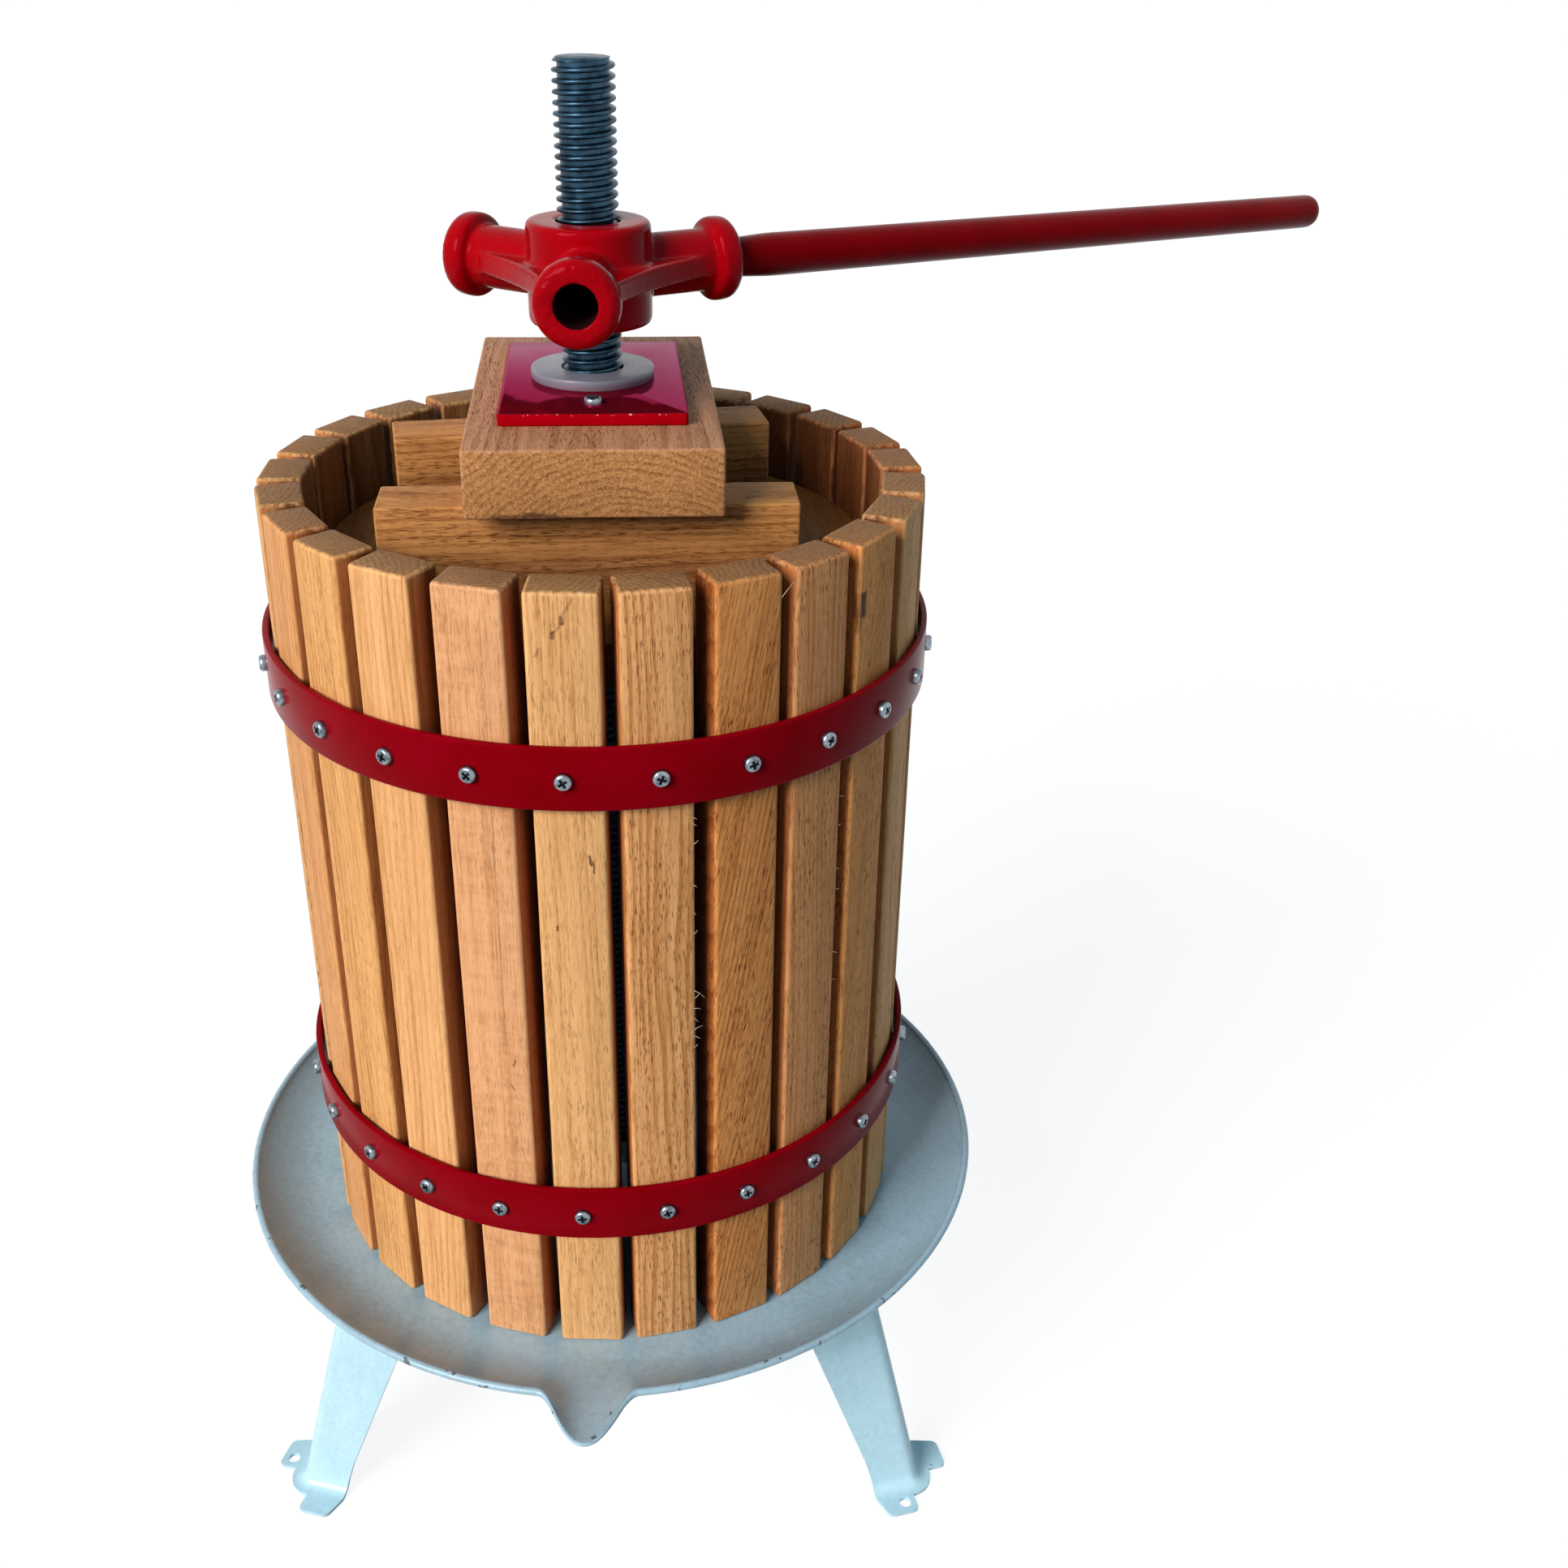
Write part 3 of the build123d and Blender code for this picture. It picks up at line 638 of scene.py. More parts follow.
def timber(size, rounding, cuts, wear, seed):
    """A planed piece of wood about the origin, cut across each axis so that its faces and rounded edges
    can wander by the wear. Arris is stored as 1 on the rounded edges."""
    bm = bmesh.new()
    arris = bm.verts.layers.float.new("arris")
    bmesh.ops.create_cube(bm, size=1.0)
    bmesh.ops.scale(bm, vec=size, verts=bm.verts)
    for axis, count in enumerate(cuts):
        direction = Vector()
        direction[axis] = 1.0
        for step in range(1, count + 1):
            offset = size[axis] * (step / (count + 1) - 0.5)
            bmesh.ops.bisect_plane(
                bm, geom=everything(bm), plane_co=direction * offset, plane_no=direction
            )
    round_edges(bm, sharp_edges(bm), rounding)
    for vert in bm.verts:
        on_face = any(abs(abs(vert.co[axis]) - size[axis] / 2) < 0.001 for axis in range(3))
        vert[arris] = 0.0 if on_face else 1.0
        shake = noise.noise_vector(vert.co * 0.035 + Vector((seed * 7.3, seed * 3.1, seed * 5.7)))
        vert.co -= Vector([
            wear * max(-0.3, shake[axis]) * math.copysign(1.0, vert.co[axis]) for axis in range(3)
        ])
    return bm


def lay_grain(piece, place, fibre, pith, slope, habit, tint=(1.0, 1.0, 1.0)):
    """Store on each vertex where it lies in its log, in millimetres with the fibre along the third value,
    and the piece's tint and habit: how much curl, pores and lines it has."""
    order = {"X": (1, 2, 0), "Y": (2, 0, 1), "Z": (0, 1, 2)}[fibre]
    undo = place.inverted()
    mesh = piece.data
    log = []
    for vert in mesh.vertices:
        spot = undo @ (vert.co * MM_PER_M)
        across, through, along = (spot[axis] for axis in order)
        log += [across - pith[0] + slope * along, through - pith[1], along + pith[2]]
    count = len(mesh.vertices)
    for name, kind, field, values in (
        ("grain", "FLOAT_VECTOR", "vector", log),
        ("tint", "FLOAT_COLOR", "color", [*tint, 1.0] * count),
        ("habit", "FLOAT_VECTOR", "vector", [*habit] * count),
    ):
        mesh.attributes.new(name, kind, "POINT").data.foreach_set(field, values)


def spun(bm, geom, centre, axis, degrees, steps):
    return bmesh.ops.spin(
        bm, geom=geom, cent=centre, axis=axis, angle=math.radians(degrees), steps=steps,
        use_merge=abs(degrees) == 360.0,
    )


def turn_up(bm, geom, steps):
    """Turn a profile right round the Z axis into a closed surface."""
    spun(bm, geom, ORIGIN, UP, 360.0, steps)
    close_up(bm)


def profile_wire(bm, points):
    """An open line of edges through points, each (radius, height)."""
    verts = [bm.verts.new((radius, 0.0, height)) for radius, height in points]
    edges = [bm.edges.new(pair) for pair in zip(verts, verts[1:])]
    return verts + edges


def close_up(bm):
    bmesh.ops.remove_doubles(bm, verts=bm.verts, dist=0.001)
    bmesh.ops.recalc_face_normals(bm, faces=bm.faces)


# Basket: slats, hoops and hoop screws

# Each slat's own tint; slats 8 to 11, seen inside the basket, are tinted darker as painted shade
SLAT_TINTS_AND_SHADES = {
    22: (1.02, 0.93, 0.90), 23: (1.07, 1.05, 0.96), 24: (1.16, 1.16, 1.20), 25: (1.08, 1.03, 1.20),
    1: (1.12, 1.16, 1.18), 2: (1.06, 1.02, 1.02), 3: (0.86, 0.69, 0.52), 4: (0.92, 0.80, 0.78),
    5: (1.00, 0.84, 0.66), 8: (0.92, 0.72, 0.66), 9: (0.80, 0.58, 0.52), 10: (0.72, 0.52, 0.46),
    11: (0.80, 0.60, 0.52),
}
SLAT_HABITS = {
    22: (0.1, 0.4, 0.25), 23: (0.1, 0.5, 0.3), 24: (0.1, 0.3, 0.3), 25: (0.75, 0.4, 0.12),
    1: (0.15, 0.55, 0.28), 2: (0.1, 0.9, 0.55), 3: (0.4, 1.0, 0.55), 4: (0.25, 1.0, 0.3),
    5: (0.35, 0.9, 0.2),
}
SLAT_SHIFTS = {25: 1.3, 1: 1.1, 2: 0.1, 3: 1.0, 5: -0.9}
SLAT_SLOPES = {3: 0.19, 5: 0.08}


def slat_angle(number):
    return SLAT_START + 360.0 / SLAT_COUNT * (number - 1)


chance = random.Random(25)
for number in range(1, SLAT_COUNT + 1):
    bm = timber(
        (SLAT_WIDTH, SLAT_THICKNESS, SLAT_LENGTH), rounding=1.9, cuts=(0, 0, 11), wear=0.14, seed=number
    )
    shift = SLAT_SHIFTS.get(number, chance.uniform(-0.7, 0.7))
    place = (
        turn_about_z(slat_angle(number) - 90.0)
        @ Matrix.Translation((
            -shift, SLAT_INNER_RADIUS + SLAT_THICKNESS / 2, TRAY_FLOOR + SLAT_LENGTH / 2
        ))
    )
    slat = new_piece(f"oak_slat_{number:02d}", bm, place)
    bearing = math.radians(chance.uniform(0.0, 360.0))
    depth = chance.uniform(35.0, 110.0)
    pith = (depth * math.cos(bearing), depth * math.sin(bearing), chance.uniform(0.0, 5000.0))
    warmth = chance.uniform(-0.05, 0.05)
    shade = chance.uniform(0.9, 1.05)
    # Tints from the table carry painted shade for slats 8 to 11
    tint = SLAT_TINTS_AND_SHADES.get(number, (shade * (1.0 + warmth), shade, shade * (1.0 - 1.6 * warmth)))
    habit = SLAT_HABITS.get(
        number, (chance.uniform(0.0, 0.3), chance.uniform(0.4, 0.9), chance.uniform(0.2, 0.45))
    )
    slope = chance.uniform(-0.02, 0.02)
    lay_grain(slat, place, "Z", pith, SLAT_SLOPES.get(number, slope), habit, tint)
    hang(slat, "basket", [f"slat_{number:02d}"], slat_oak)

# Fibres torn out along slat edges: heights of each slat's, and the lengths of the long ones
TORN_FIBRES = {
    2: (427.0, 424.0, 415.0, 396.0, 383.0, 373.0, 345.0, 341.0, 336.0, 331.0, 325.0, 322.0, 316.0),
    3: (513.0,),
    4: (416.0, 402.0, 381.0, 371.0, 339.0, 324.0),
}
LONG_FIBRES = {(2, 345.0): 5.5, (2, 341.0): 4.5, (2, 325.0): 4.0, (3, 513.0): 8.5}
FIBRE_INSET = 0.5
bm = bmesh.new()
bmesh.ops.create_cone(bm, cap_ends=True, segments=5, radius1=0.13, radius2=0.05, depth=1.0)
bmesh.ops.subdivide_edges(bm, edges=upright_edges(bm, 0.5), cuts=4)
bmesh.ops.translate(bm, vec=(0.0, 0.0, 0.5), verts=bm.verts)
strand = bpy.data.meshes.new("strand")
bm.to_mesh(strand)
bm.clear()
splinter_chance = random.Random(4)
for number, heights in TORN_FIBRES.items():
    turn = turn_about_z(slat_angle(number) - 90.0)
    for height in heights:
        length = LONG_FIBRES.get((number, height), splinter_chance.uniform(1.2, 2.8))
        bow = splinter_chance.uniform(-0.45, 0.45) * length
        lean = math.radians(splinter_chance.uniform(-70.0, 70.0) if height < 500.0 else 62.0)
        way = Vector((-math.cos(lean), 0.35, math.sin(lean)))
        edge = Vector((
            FIBRE_INSET - SLAT_WIDTH / 2 - SLAT_SHIFTS.get(number, 0.0),
            SLAT_INNER_RADIUS + SLAT_THICKNESS - FIBRE_INSET,
            height,
        ))
        fibre = add_copy(bm, strand)
        for vert in fibre:
            vert.co.x += bow * vert.co.z**2
            vert.co.z *= length
        bmesh.ops.transform(bm, matrix=turn @ Matrix.Translation(edge) @ aim(way), verts=fibre)
bmesh.ops.recalc_face_normals(bm, faces=bm.faces)
splinters = new_piece("torn_slat_fibres", bm)
splinters.data.materials.append(torn_fibre)
splinters.data.shade_smooth()
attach(splinters, "basket")

for level, height in HOOP_HEIGHTS.items():
    bm = bmesh.new()
    bmesh.ops.create_grid(bm, x_segments=1, y_segments=1, size=0.5)
    bmesh.ops.scale(bm, vec=(HOOP_OUTER_RADIUS - HOOP_INNER_RADIUS, HOOP_WIDTH, 1.0), verts=bm.verts)
    bmesh.ops.bevel(
        bm, geom=bm.verts[:], offset=0.9, segments=3, profile=0.5, affect="VERTICES", material=-1
    )
    bmesh.ops.rotate(bm, matrix=Matrix.Rotation(math.radians(90.0), 3, "X"), verts=bm.verts)
    bmesh.ops.translate(
        bm, vec=((HOOP_INNER_RADIUS + HOOP_OUTER_RADIUS) / 2, 0.0, height), verts=bm.verts
    )
    bmesh.ops.delete(bm, geom=bm.faces[:], context="FACES_ONLY")
    turn_up(bm, bm.verts[:] + bm.edges[:], 200)
    hoop = new_piece(f"crimson_hoop_{level}", bm)
    hang(hoop, "basket", [f"hoop_{level}"], hoop_crimson)


RECESS_HALF_WIDTH = 0.5
RECESS_REACH = 1.75
RECESS_FLOOR = 1.25
RECESS_TOP = 2.72
CROWN_RADIUS = 2.35
CROWN_HEIGHT = 2.75
SHANK_RADIUS = 2.0
HEAD_PROFILE = ((2.95, 2.55), (3.4, 2.05), (3.6, 1.35), (3.6, 0.0), (SHANK_RADIUS, 0.0))


def pan_screw(shank):
    """A pan-head screw along +Z with a cross recess. The underside of its head is at the origin."""
    bm = bmesh.new()
    # The cross recess is marked for painted shade, fully at its floor and partly at its top edge
    recess_shade = bm.verts.layers.float.new("recess_shade")
    bmesh.ops.create_grid(bm, x_segments=3, y_segments=3, size=1.5)
    for vert in bm.verts:
        vert[recess_shade] = 1.0
        for axis in (0, 1):
            side = math.copysign(1.0, vert.co[axis])
            vert.co[axis] = side * (RECESS_HALF_WIDTH if abs(vert.co[axis]) < 1.0 else RECESS_REACH)
        vert.co.z = RECESS_FLOOR
    corners = [
        face for face in bm.faces
        if min(abs(part) for part in face.calc_center_median().xy) > RECESS_HALF_WIDTH
    ]
    bmesh.ops.delete(bm, geom=corners, context="FACES")
    rim = [edge for edge in bm.edges if edge.is_boundary]
    top = verts_of(bmesh.ops.extrude_edge_only(bm, edges=rim)["geom"])
    bmesh.ops.scale(bm, vec=(1.12, 1.12, 1.0), verts=top)
    for vert in top:
        vert.co.z = RECESS_TOP
        vert[recess_shade] = 0.35
    loop = [edge for edge in bm.edges if edge.is_boundary]
    bmesh.ops.subdivide_edges(bm, edges=loop, cuts=1)
    loop = [edge for edge in bm.edges if edge.is_boundary]
    ring = bmesh.ops.create_circle(bm, segments=24, radius=CROWN_RADIUS)["verts"]
    for vert in ring:
        vert.co.z = CROWN_HEIGHT
        vert[recess_shade] = 0.0
    outer = list(dict.fromkeys(edge for vert in ring for edge in vert.link_edges))
    bmesh.ops.bridge_loops(bm, edges=loop + outer)
    for radius, height in (*HEAD_PROFILE, (SHANK_RADIUS, -shank)):
        grown = bmesh.ops.extrude_edge_only(bm, edges=outer)["geom"]
        outer = [edge for edge in grown if isinstance(edge, bmesh.types.BMEdge) and edge.is_boundary]
        for vert in verts_of(grown):
            reach = math.hypot(vert.co.x, vert.co.y)
            vert.co = Vector((vert.co.x * radius / reach, vert.co.y * radius / reach, height))
    bmesh.ops.edgeloop_fill(bm, edges=outer)
    close_up(bm)
    mesh = bpy.data.meshes.new("pan_screw")
    bm.to_mesh(mesh)
    bm.free()
    return mesh


def place_screws(name, mesh, places, body, node):
    """Make one piece of all the screws of a group."""
    bm = bmesh.new()
    for matrix in places:
        bmesh.ops.transform(bm, matrix=matrix, verts=add_copy(bm, mesh))
    hang(new_piece(name, bm), body, [node], screw_zinc, 40.0)


hoop_screw = pan_screw(15.5)
for level, height in HOOP_HEIGHTS.items():
    places = [
        turn_about_z(slat_angle(number))
        @ Matrix.Translation((HOOP_OUTER_RADIUS, 0.0, height))
        @ Matrix.Rotation(math.radians(90.0), 4, "Y")
        @ turn_about_z(chance.uniform(0.0, 90.0))
        for number in range(1, SLAT_COUNT + 1)
    ]
    place_screws(f"pan_screws_{level}", hoop_screw, places, "basket", f"hoop_screws_{level}")


# Press stack: boards, battens, block, plate, screws and washer

stack_place = turn_about_z(STACK_TURN)
for side_name, side in (("left", -1.0), ("right", 1.0)):
    bm = bmesh.new()
    bmesh.ops.create_circle(bm, cap_ends=True, segments=128, radius=BOARD_RADIUS)
    bmesh.ops.bisect_plane(
        bm, geom=everything(bm), plane_co=(side * BOARD_GAP / 2, 0.0, 0.0), plane_no=(-side, 0.0, 0.0),
        clear_outer=True,
    )
    grown = bmesh.ops.extrude_face_region(bm, geom=bm.faces[:])["geom"]
    bmesh.ops.translate(bm, vec=(0.0, 0.0, BOARD_THICKNESS), verts=verts_of(grown))
    close_up(bm)
    round_edges(bm, sharp_edges(bm, 60.0), 1.2, 2)
    place = stack_place @ Matrix.Translation((0.0, 0.0, BOARD_BOTTOM))
    board = new_piece(f"half_board_{side_name}", bm, place)
    bore_for_spindle(board, BOARD_BOTTOM, BATTEN_BOTTOM)
    lay_grain(
        board, place, "Y", pith=(40.0 * side, 90.0, 300.0 * side), slope=0.01, habit=(0.2, 0.6, 0.35)
    )
    hang(board, "press_stack", [f"press_board_{side_name}"], shaded_board_oak)

# Each batten's shift, offset from the spindle and skew
BATTENS = {"front": (-2.5, -58.0, 0.0), "rear": (-6.0, 43.0, 7.5)}
for number, (end, (shift, offset, skew)) in enumerate(BATTENS.items()):
    bm = timber(BATTEN_SIZE, rounding=1.2, cuts=(9, 1, 1), wear=0.18, seed=31 + number)
    place = (
        stack_place
        @ Matrix.Translation((shift, offset, BATTEN_BOTTOM + BATTEN_SIZE[2] / 2))
        @ turn_about_z(skew)
    )
    batten = new_piece(f"batten_{end}_oak", bm, place)
    lay_grain(
        batten, place, "X", pith=(-14.0, -70.0, 900.0 * number), slope=0.03, habit=(0.4, 1.0, 0.4)
    )
    hang(batten, "press_stack", [f"batten_{end}"], batten_oak)

bm = timber(BLOCK_SIZE, rounding=1.3, cuts=(3, 7, 0), wear=0.2, seed=40)
place = stack_place @ Matrix.Translation((0.0, 0.0, BLOCK_BOTTOM + BLOCK_SIZE[2] / 2))
block = new_piece("oak_block", bm, place)
bore_for_spindle(block, BLOCK_BOTTOM, PLATE_BOTTOM)
lay_grain(block, place, "Y", pith=(-58.0, 14.0, 0.0), slope=0.02, habit=(0.2, 0.95, 0.5))
hang(block, "press_stack", ["press_block"], block_oak)

bm = bmesh.new()
bmesh.ops.create_cube(bm, size=1.0)
bmesh.ops.scale(bm, vec=PLATE_SIZE, verts=bm.verts)
round_edges(bm, upright_edges(bm, 1.0), rounding=1.6, segments=4)
round_edges(bm, sharp_edges(bm, 60.0), rounding=0.9)
place = stack_place @ Matrix.Translation((0.0, 0.0, PLATE_BOTTOM + PLATE_SIZE[2] / 2))
plate = new_piece("red_plate", bm, place)
bore_for_spindle(plate, PLATE_BOTTOM, WASHER_BOTTOM)
hang(plate, "press_stack", ["thrust_plate"], plate_red)

plate_screw = pan_screw(21.5)
places = [
    stack_place @ Matrix.Translation((0.0, along, WASHER_BOTTOM)) @ turn_about_z(turn)
    for along, turn in ((-PLATE_SCREW_OFFSET, 24.0), (PLATE_SCREW_OFFSET, 61.0))
]
place_screws("plate_pan_screws", plate_screw, places, "press_stack", "plate_screws")

bm = bmesh.new()
section = profile_wire(bm, [
    (SLIDE_BORE, WASHER_BOTTOM), (SLIDE_BORE, WASHER_TOP - 0.3), (SLIDE_BORE + 0.4, WASHER_TOP),
    (WASHER_RADIUS - 0.75, WASHER_TOP), (WASHER_RADIUS - 0.2, WASHER_TOP - 0.2),
    (WASHER_RADIUS, WASHER_TOP - 0.7), (WASHER_RADIUS, WASHER_BOTTOM + 0.5),
    (WASHER_RADIUS - 0.35, WASHER_BOTTOM), (SLIDE_BORE, WASHER_BOTTOM),
])
turn_up(bm, section, 72)
washer = new_piece("nylon_washer", bm)
hang(washer, "press_stack", ["thrust_washer"], washer_nylon)


# Spindle: a rounded thread drawn up the whole bar, with turned ends

THREAD_STEPS = 36
END_CHAMFER = 1.9
root = SPINDLE_RADIUS - THREAD_DEPTH
bm = bmesh.new()
ridge = profile_wire(bm, [
    (root, 0.0), (root, 1.6), (root + 0.3, 1.75), (root + 1.35, 1.9), (SPINDLE_RADIUS - 0.4, 2.1),
    (SPINDLE_RADIUS - 0.1, 2.4), (SPINDLE_RADIUS, 2.8), (SPINDLE_RADIUS - 0.1, 3.2),
    (SPINDLE_RADIUS - 0.4, 3.5), (root + 1.35, 3.7), (root + 0.3, 3.85), (root, THREAD_PITCH),
])
bmesh.ops.spin(
    bm, geom=ridge, axis=UP, angle=math.radians(360.0), steps=THREAD_STEPS,
    dvec=(0.0, 0.0, THREAD_PITCH / THREAD_STEPS),
)
bmesh.ops.translate(bm, vec=(0.0, 0.0, SPINDLE_BOTTOM - 1.5 * THREAD_PITCH), verts=bm.verts)
turns = 1
while turns * THREAD_PITCH < SPINDLE_TOP - SPINDLE_BOTTOM + 2.0 * THREAD_PITCH:
    copy = bmesh.ops.duplicate(bm, geom=everything(bm))["geom"]
    bmesh.ops.translate(bm, vec=(0.0, 0.0, turns * THREAD_PITCH), verts=verts_of(copy))
    turns *= 2
bmesh.ops.remove_doubles(bm, verts=bm.verts, dist=0.01)
for height, way in ((SPINDLE_BOTTOM, -1.0), (SPINDLE_TOP, 1.0)):
    bmesh.ops.bisect_plane(
        bm, geom=everything(bm), plane_co=(0.0, 0.0, height), plane_no=(0.0, 0.0, way), clear_outer=True
    )
for vert in bm.verts:
    end = min(vert.co.z - SPINDLE_BOTTOM, SPINDLE_TOP - vert.co.z)
    reach = math.hypot(vert.co.x, vert.co.y)
    limit = SPINDLE_RADIUS - max(0.0, END_CHAMFER - end)
    if reach > limit:
        vert.co.x *= limit / reach
        vert.co.y *= limit / reach
bmesh.ops.holes_fill(bm, edges=[edge for edge in bm.edges if edge.is_boundary])
bmesh.ops.recalc_face_normals(bm, faces=bm.faces)
spindle = new_piece("threaded_spindle", bm)
hang(spindle, "frame", ["spindle"], spindle_steel, 50.0)


# Spider nut: the CAD form, softened as a casting is, with lumps on the faces of its collars

LUMP_DEPTH = 0.00035
bm = bmesh.new()
bm.from_mesh(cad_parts["spider_nut"].data)
bmesh.ops.remove_doubles(bm, verts=bm.verts, dist=0.000002)
rescale(bm, MM_PER_M)
spider = new_piece("cast_spider", bm)
modify(spider, "REMESH", mode="VOXEL", voxel_size=0.0008)
modify(spider, "SMOOTH", factor=0.5, iterations=14)
apply_modifiers(spider)
# The bores of the sockets are marked for painted shade
bore = []
for vert in spider.data.vertices:
    spot = vert.co * MM_PER_M - Vector((0.0, 0.0, ARM_HEIGHT))
    outward = max((turn_about_z(angle) @ Vector((1.0, 0.0, 0.0)) for angle in ARM_ANGLES), key=spot.dot)
    along = spot.dot(outward)
    away = (spot - along * outward).length
    inside = ARM_REACH - SOCKET_DEPTH - 1.0 < along < ARM_REACH - 0.8 and away < SOCKET_RADIUS + 0.4
    bore.append(1.0 if inside else 0.0)
    if along > ARM_REACH - 2.0 and not inside:
        lump = noise.noise(spot * 0.42) + 0.5 * noise.noise(spot * 0.9)
        vert.co -= outward * LUMP_DEPTH * max(0.0, 0.4 + lump)
spider.data.attributes.new("bore", "FLOAT", "POINT").data.foreach_set("value", bore)
hang(spider, "nut", ["spider_nut"], cast_red, 75.0)


# Handle: a turned bar with a reduced end, sagging a little about the middle of its socket

bm = bmesh.new()
bar = profile_wire(bm, [
    (0.0, -16.6), (7.2, -16.6), (8.0, -15.8), (8.0, 19.2), (8.1, 20.4), (8.3, 24.0), (8.65, 30.0),
    (8.88, 34.0), (9.0, 38.5), (8.8, 110.0), (8.6, 180.0), (8.4, 250.0), (8.2, 318.0), (8.1, 359.5),
    (7.9, 361.4), (7.2, 363.3), (6.0, 364.7), (4.4, 365.4), (2.4, 365.7), (0.0, 365.7),
])
turn_up(bm, bar, 48)
place = (
    turn_about_z(HANDLE_ANGLE)
    @ Matrix.Translation((ARM_REACH - SOCKET_DEPTH / 2, 0.0, ARM_HEIGHT))
    @ Matrix.Rotation(math.radians(90.0 + HANDLE_DROOP), 4, "Y")
)
handle = new_piece("bar_handle", bm, place)
hang(handle, "handle", ["handle"], handle_crimson)


# Tray: a spun dish with a rolled lip, drawn out into the spout

FINE_ARC = 40.0
lip_radius = TRAY_RIM_RADIUS - LIP_RADIUS
lip_height = TRAY_RIM - LIP_RADIUS
sheet_middle = TRAY_FLOOR - TRAY_SHEET / 2
wall_run = lip_radius - TRAY_FLAT_RADIUS
wall_rise = lip_height - sheet_middle
bend = (wall_run**2 + wall_rise**2) / (2.0 * wall_rise)
sweep = math.degrees(math.asin(wall_run / bend))


def spout_share(angle):
    """How far the rim is drawn out at an angle from the spout's middle, from 0 to 1."""
    away = abs(angle)
    if away >= SPOUT_HALF_ANGLE:
        return 0.0
    return 0.5 * (1.0 + math.cos(math.pi * (away / SPOUT_HALF_ANGLE) ** 1.05))


def spin_round(bm):
    """Turn a profile right round the spindle, with finer steps at the spout."""
    bmesh.ops.rotate(bm, matrix=turn_about_z(SPOUT_ANGLE - FINE_ARC / 2).to_3x3(), verts=bm.verts)
    last = spun(bm, bm.verts[:] + bm.edges[:], ORIGIN, UP, FINE_ARC, 96)["geom_last"]
    spun(bm, last, ORIGIN, UP, 360.0 - FINE_ARC, 108)
    bmesh.ops.remove_doubles(bm, verts=bm.verts, dist=0.005)


def draw_spout(bm, is_lip):
    """Draw the front of the dish out into the spout."""
    for vert in bm.verts:
        radius = math.hypot(vert.co.x, vert.co.y)
        angle = math.degrees(math.atan2(vert.co.y, vert.co.x)) - SPOUT_ANGLE
        share = spout_share((angle + 180.0) % 360.0 - 180.0)
        if share <= 0.0 or radius <= TRAY_FLAT_RADIUS:
            continue
        along = 1.0 if is_lip else min(1.0, (radius - TRAY_FLAT_RADIUS) / wall_run)
        rest = bend - math.sqrt(bend**2 - (along * wall_run) ** 2)
        ramp = (wall_rise - SPOUT_FALL) * along**1.15
        reach = radius + SPOUT_REACH * share * along**1.4
        if is_lip:
            thin = 1.0 - 0.62 * share
            reach = lip_radius + (radius - lip_radius) * thin + SPOUT_REACH * share
            vert.co.z = lip_height + (vert.co.z - lip_height) * thin
        vert.co.x *= reach / radius
        vert.co.y *= reach / radius
        vert.co.z += (ramp - rest) * share
    bmesh.ops.recalc_face_normals(bm, faces=bm.faces)


bm = bmesh.new()
flat_radii = (TRAY_HOLE_RADIUS, 60.0, 110.0, TRAY_FLAT_RADIUS)
flat = profile_wire(bm, [(radius, sheet_middle) for radius in flat_radii])
flat_edge = flat[len(flat_radii) - 1]
spun(bm, [flat_edge], (TRAY_FLAT_RADIUS, 0.0, sheet_middle + bend), (0.0, 1.0, 0.0), -sweep, 12)
spin_round(bm)
draw_spout(bm, False)
dish = new_piece("dish", bm)
modify(dish, "SOLIDIFY", thickness=TRAY_SHEET / MM_PER_M, offset=0.0)
apply_modifiers(dish)

bm = bmesh.new()
bmesh.ops.create_circle(bm, segments=14, radius=LIP_RADIUS)
bmesh.ops.rotate(bm, matrix=Matrix.Rotation(math.radians(90.0), 3, "X"), verts=bm.verts)
bmesh.ops.translate(bm, vec=(lip_radius, 0.0, lip_height), verts=bm.verts)
spin_round(bm)
draw_spout(bm, True)
rescale(bm, 1.0 / MM_PER_M)
bm.from_mesh(dish.data)
rescale(bm, MM_PER_M)
bpy.data.objects.remove(dish)
tray = new_piece("spun_tray", bm)
hang(tray, "frame", ["tray"], tray_grey_shaded, 50.0)


# Legs: folded sheet with a soft bend, feet turned out

FOLD = 6.0
FOOT_BEND = 4.5
BEND_TOP = LEG_SHEET + FOOT_BEND
# Columns are shares of a flange from the fold. Rows go from the foot tab through its bend up the leg.
LEG_COLUMNS = (0.0, 0.05, 0.1, 0.15, 0.2, 0.26, 0.42, 0.58, 0.74, 1.0)
LEG_ROWS = (
    ("out", 16.3), ("out", 13.0), ("out", 9.5), ("out", 6.5), ("arc", 90.0), ("arc", 67.5), ("arc", 45.0),
    ("arc", 22.5), ("up", BEND_TOP), ("up", 9.0), ("up", 20.0), ("up", 50.0), ("up", 85.0), ("up", 120.0),
    ("up", LEG_HEIGHT - 0.1),
)
NOTCH_COLUMNS = 5
NOTCH_ROWS = 3


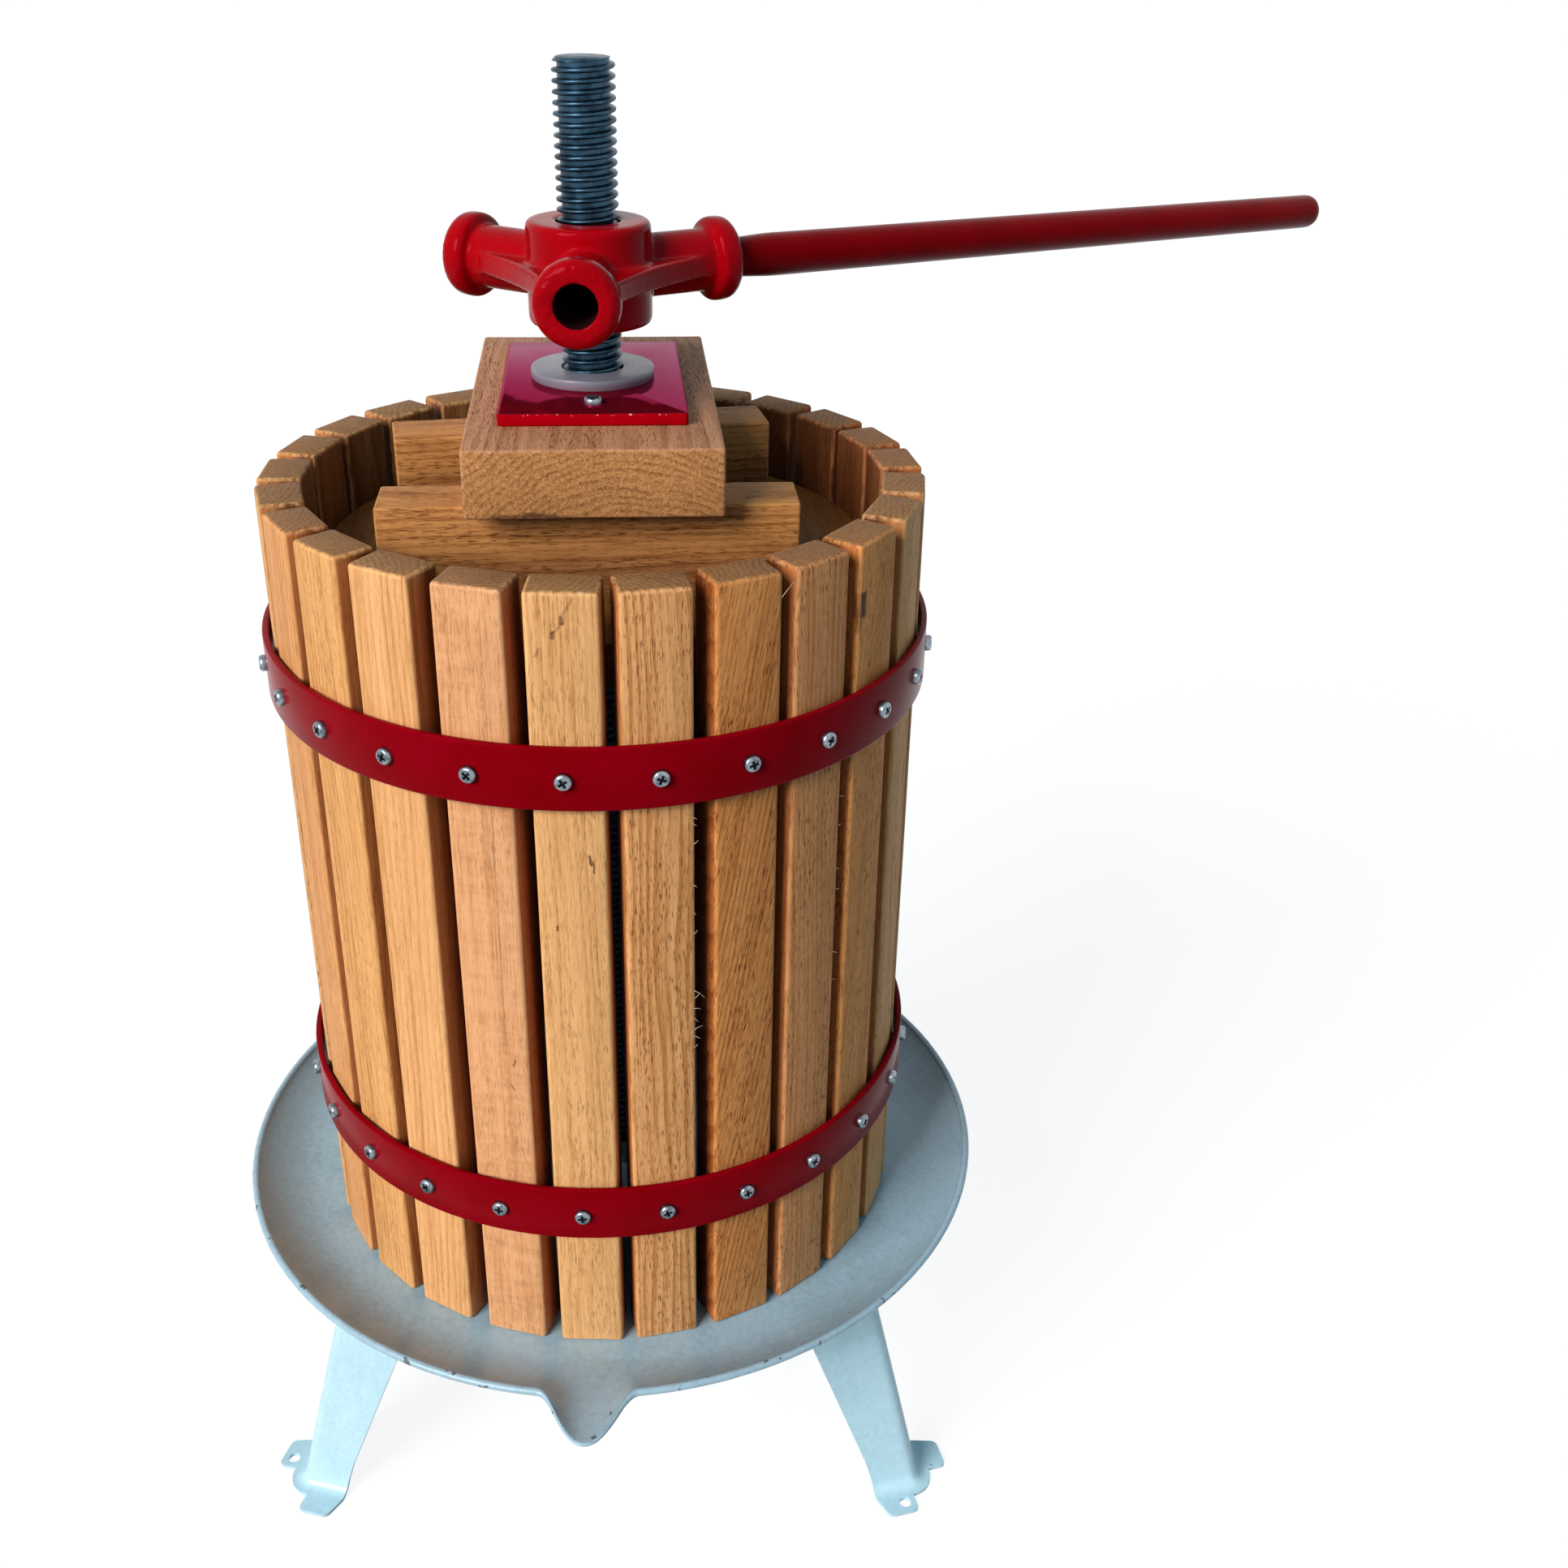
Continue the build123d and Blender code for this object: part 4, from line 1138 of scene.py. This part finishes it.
def leg_point(column, row):
    """The outer face of a leg that stands out along +X, at a grid column and row."""
    side = 1.0 if column >= 0 else -1.0
    kind, value = LEG_ROWS[row]
    height, out = value, 0.0
    if kind == "arc":
        height = BEND_TOP - FOOT_BEND * math.sin(math.radians(value))
        out = FOOT_BEND * (1.0 - math.cos(math.radians(value)))
    elif kind == "out":
        height, out = LEG_SHEET, value
    rise = max(height, 0.0) / LEG_HEIGHT
    spine = LEG_FOOT_RADIUS + (LEG_TOP_RADIUS - LEG_FOOT_RADIUS) * rise
    flare = 3.0 * max(0.0, 1.0 - height / 22.0) ** 2
    flange = LEG_FOOT_FLANGE + (LEG_TOP_FLANGE - LEG_FOOT_FLANGE) * rise + flare
    share = LEG_COLUMNS[abs(column)]
    if share == 1.0:
        share -= 0.14 * max(0.0, out - FOOT_BEND) / 12.0
    run = flange * share
    if run >= FOLD:
        spot = Vector((spine - run / math.sqrt(2.0), side * run / math.sqrt(2.0), height))
        facing = Vector((1.0, side, 0.0)).normalized()
    else:
        turn = math.radians(45.0) * run / FOLD
        facing = Vector((math.cos(turn), side * math.sin(turn), 0.0))
        spot = Vector((spine - FOLD * math.sqrt(2.0), 0.0, height)) + FOLD * facing
    return spot + facing * out


for leg_name, leg_angle in LEG_ANGLES.items():
    bm = bmesh.new()
    last_column = len(LEG_COLUMNS) - 1
    last_row = len(LEG_ROWS) - 1
    bmesh.ops.create_grid(bm, x_segments=2 * last_column, y_segments=last_row, size=1.0)
    spots = {}
    for vert in bm.verts:
        column = round(vert.co.x * last_column)
        row = round((vert.co.y + 1.0) / 2.0 * last_row)
        spots[vert] = (column, row)
    notch = [
        face for face in bm.faces
        if max(abs(spots[vert][0]) for vert in face.verts) <= NOTCH_COLUMNS
        and max(spots[vert][1] for vert in face.verts) <= NOTCH_ROWS
    ]
    for vert, (column, row) in spots.items():
        vert.co = leg_point(column, row)
    bmesh.ops.delete(bm, geom=notch, context="FACES")
    corners = [
        vert for vert in bm.verts
        if vert in spots and spots[vert][1] == 0 and len(vert.link_faces) == 1
    ]
    bmesh.ops.bevel(
        bm, geom=corners, offset=2.6, segments=4, profile=0.5, affect="VERTICES", material=-1
    )
    bm.normal_update()
    facing = sum((face.normal * face.calc_area() for face in bm.faces), Vector())
    if facing.x < 0.0:
        bmesh.ops.reverse_faces(bm, faces=bm.faces)
    bmesh.ops.rotate(bm, matrix=turn_about_z(leg_angle).to_3x3(), verts=bm.verts)
    leg = new_piece(f"folded_{leg_name}", bm)
    modify(leg, "SOLIDIFY", thickness=LEG_SHEET / MM_PER_M, offset=-1.0)
    apply_modifiers(leg)
    hole = turn_about_z(leg_angle) @ Vector((
        LEG_FOOT_RADIUS + (FOOT_HOLE_OUT - FOOT_HOLE_ALONG) / math.sqrt(2.0),
        -(FOOT_HOLE_OUT + FOOT_HOLE_ALONG) / math.sqrt(2.0),
        0.0,
    ))
    drill(leg, hole - 4.0 * UP, hole + 8.0 * UP, FOOT_HOLE_RADIUS)
    modify(
        leg, "BEVEL", width=0.0003, segments=2, limit_method="ANGLE", angle_limit=math.radians(50.0)
    )
    hang(leg, "frame", [leg_name], leg_grey, 50.0)


# Pieces that stay as the CAD made them

for node_name, finish in (
    ("thread_bush", bush_bronze), ("base_plate", screw_zinc), ("spindle_nut_upper", screw_zinc),
    ("spindle_nut_lower", screw_zinc), ("leg_bolts", screw_zinc), ("leg_nuts", screw_zinc),
):
    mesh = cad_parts[node_name].data
    mesh.materials.clear()
    mesh.materials.append(finish)


# Studio: pale floor, white surroundings, a soft key from the left, a small window lamp and a faint fill

world = bpy.data.worlds.new("white_surroundings")
world.use_nodes = True
bpy.context.scene.world = world
sky = Wiring(world.node_tree)
shade = sky.node("ShaderNodeBackground", {}, {"Color": rgba(0.40, 0.80, 1.0), "Strength": 0.2})
white = sky.node("ShaderNodeBackground", {}, {"Color": rgba(1.0, 1.0, 1.0), "Strength": 1.0})
surround = sky.node("ShaderNodeMixShader", {}, {0: sky.seen(), 1: shade, 2: white})
sky.tree.links.new(surround.socket, sky.tree.nodes["World Output"].inputs["Surface"])

bm = bmesh.new()
bmesh.ops.create_circle(bm, cap_ends=True, segments=96, radius=40000.0)
floor = new_piece("pale_floor", bm)
ground = Finish("pale_floor")
lit = ground.node("ShaderNodeBsdfDiffuse", {}, {"Color": rgba(0.32, 0.32, 0.32)})
faint = ground.node("ShaderNodeBsdfDiffuse", {}, {"Color": rgba(0.18, 0.18, 0.18)})
glow = ground.node("ShaderNodeEmission", {}, {"Color": rgba(1.0, 1.0, 1.0), "Strength": 0.89})
both = ground.node("ShaderNodeAddShader", {}, {0: faint, 1: glow})
shown = ground.node("ShaderNodeMixShader", {}, {0: ground.seen(), 1: lit, 2: both})
ground.tree.links.new(shown.socket, ground.tree.nodes["Material Output"].inputs["Surface"])
floor.data.materials.append(ground.material)


def sun(name, azimuth, elevation, strength, softness, colour):
    """A distant lamp in a direction in degrees, as wide as its softness in degrees."""
    lamp = bpy.data.lights.new(name, "SUN")
    lamp.energy = strength
    lamp.color = colour
    lamp.angle = math.radians(softness)
    holder = bpy.data.objects.new(name, lamp)
    bpy.context.scene.collection.objects.link(holder)
    round_z, up_from_level = math.radians(azimuth), math.radians(elevation)
    way = Vector((
        math.cos(round_z) * math.cos(up_from_level),
        math.sin(round_z) * math.cos(up_from_level),
        math.sin(up_from_level),
    ))
    holder.rotation_euler = way.to_track_quat("Z", "Y").to_euler()


sun("key", -131.0, 30.0, 3.2, 32.0, (1.0, 0.99, 0.97))
sun("window", -116.0, 40.0, 0.25, 3.0, (1.0, 1.0, 1.0))
sun("fill", -15.0, 35.0, 0.2, 60.0, (0.6, 0.82, 1.0))


# Camera at the photographer's place, in metres, with its yaw, pitch and roll in degrees

CAMERA_SPOT = (0.06422, -0.71982, 0.75796)
CAMERA_TURN = (1.606, 28.332, 1.353)
yaw, pitch, roll = (math.radians(value) for value in CAMERA_TURN)
forward = Vector((math.sin(yaw) * math.cos(pitch), math.cos(yaw) * math.cos(pitch), -math.sin(pitch)))
right = Vector((math.cos(yaw), -math.sin(yaw), 0.0))
up = right.cross(forward)
level_right, level_up = right, up
right = math.cos(roll) * level_right + math.sin(roll) * level_up
up = math.cos(roll) * level_up - math.sin(roll) * level_right
lens = bpy.data.cameras.new("photo_camera")
lens.sensor_fit = "HORIZONTAL"
lens.sensor_width = 36.0
lens.lens = 39.514
lens.clip_end = 200.0
camera = bpy.data.objects.new("photo_camera", lens)
bpy.context.scene.collection.objects.link(camera)
turn = Matrix((right, up, -forward)).transposed().to_4x4()
camera.matrix_world = Matrix.Translation(CAMERA_SPOT) @ turn
bpy.context.scene.camera = camera
bpy.context.scene.view_settings.view_transform = "Standard"
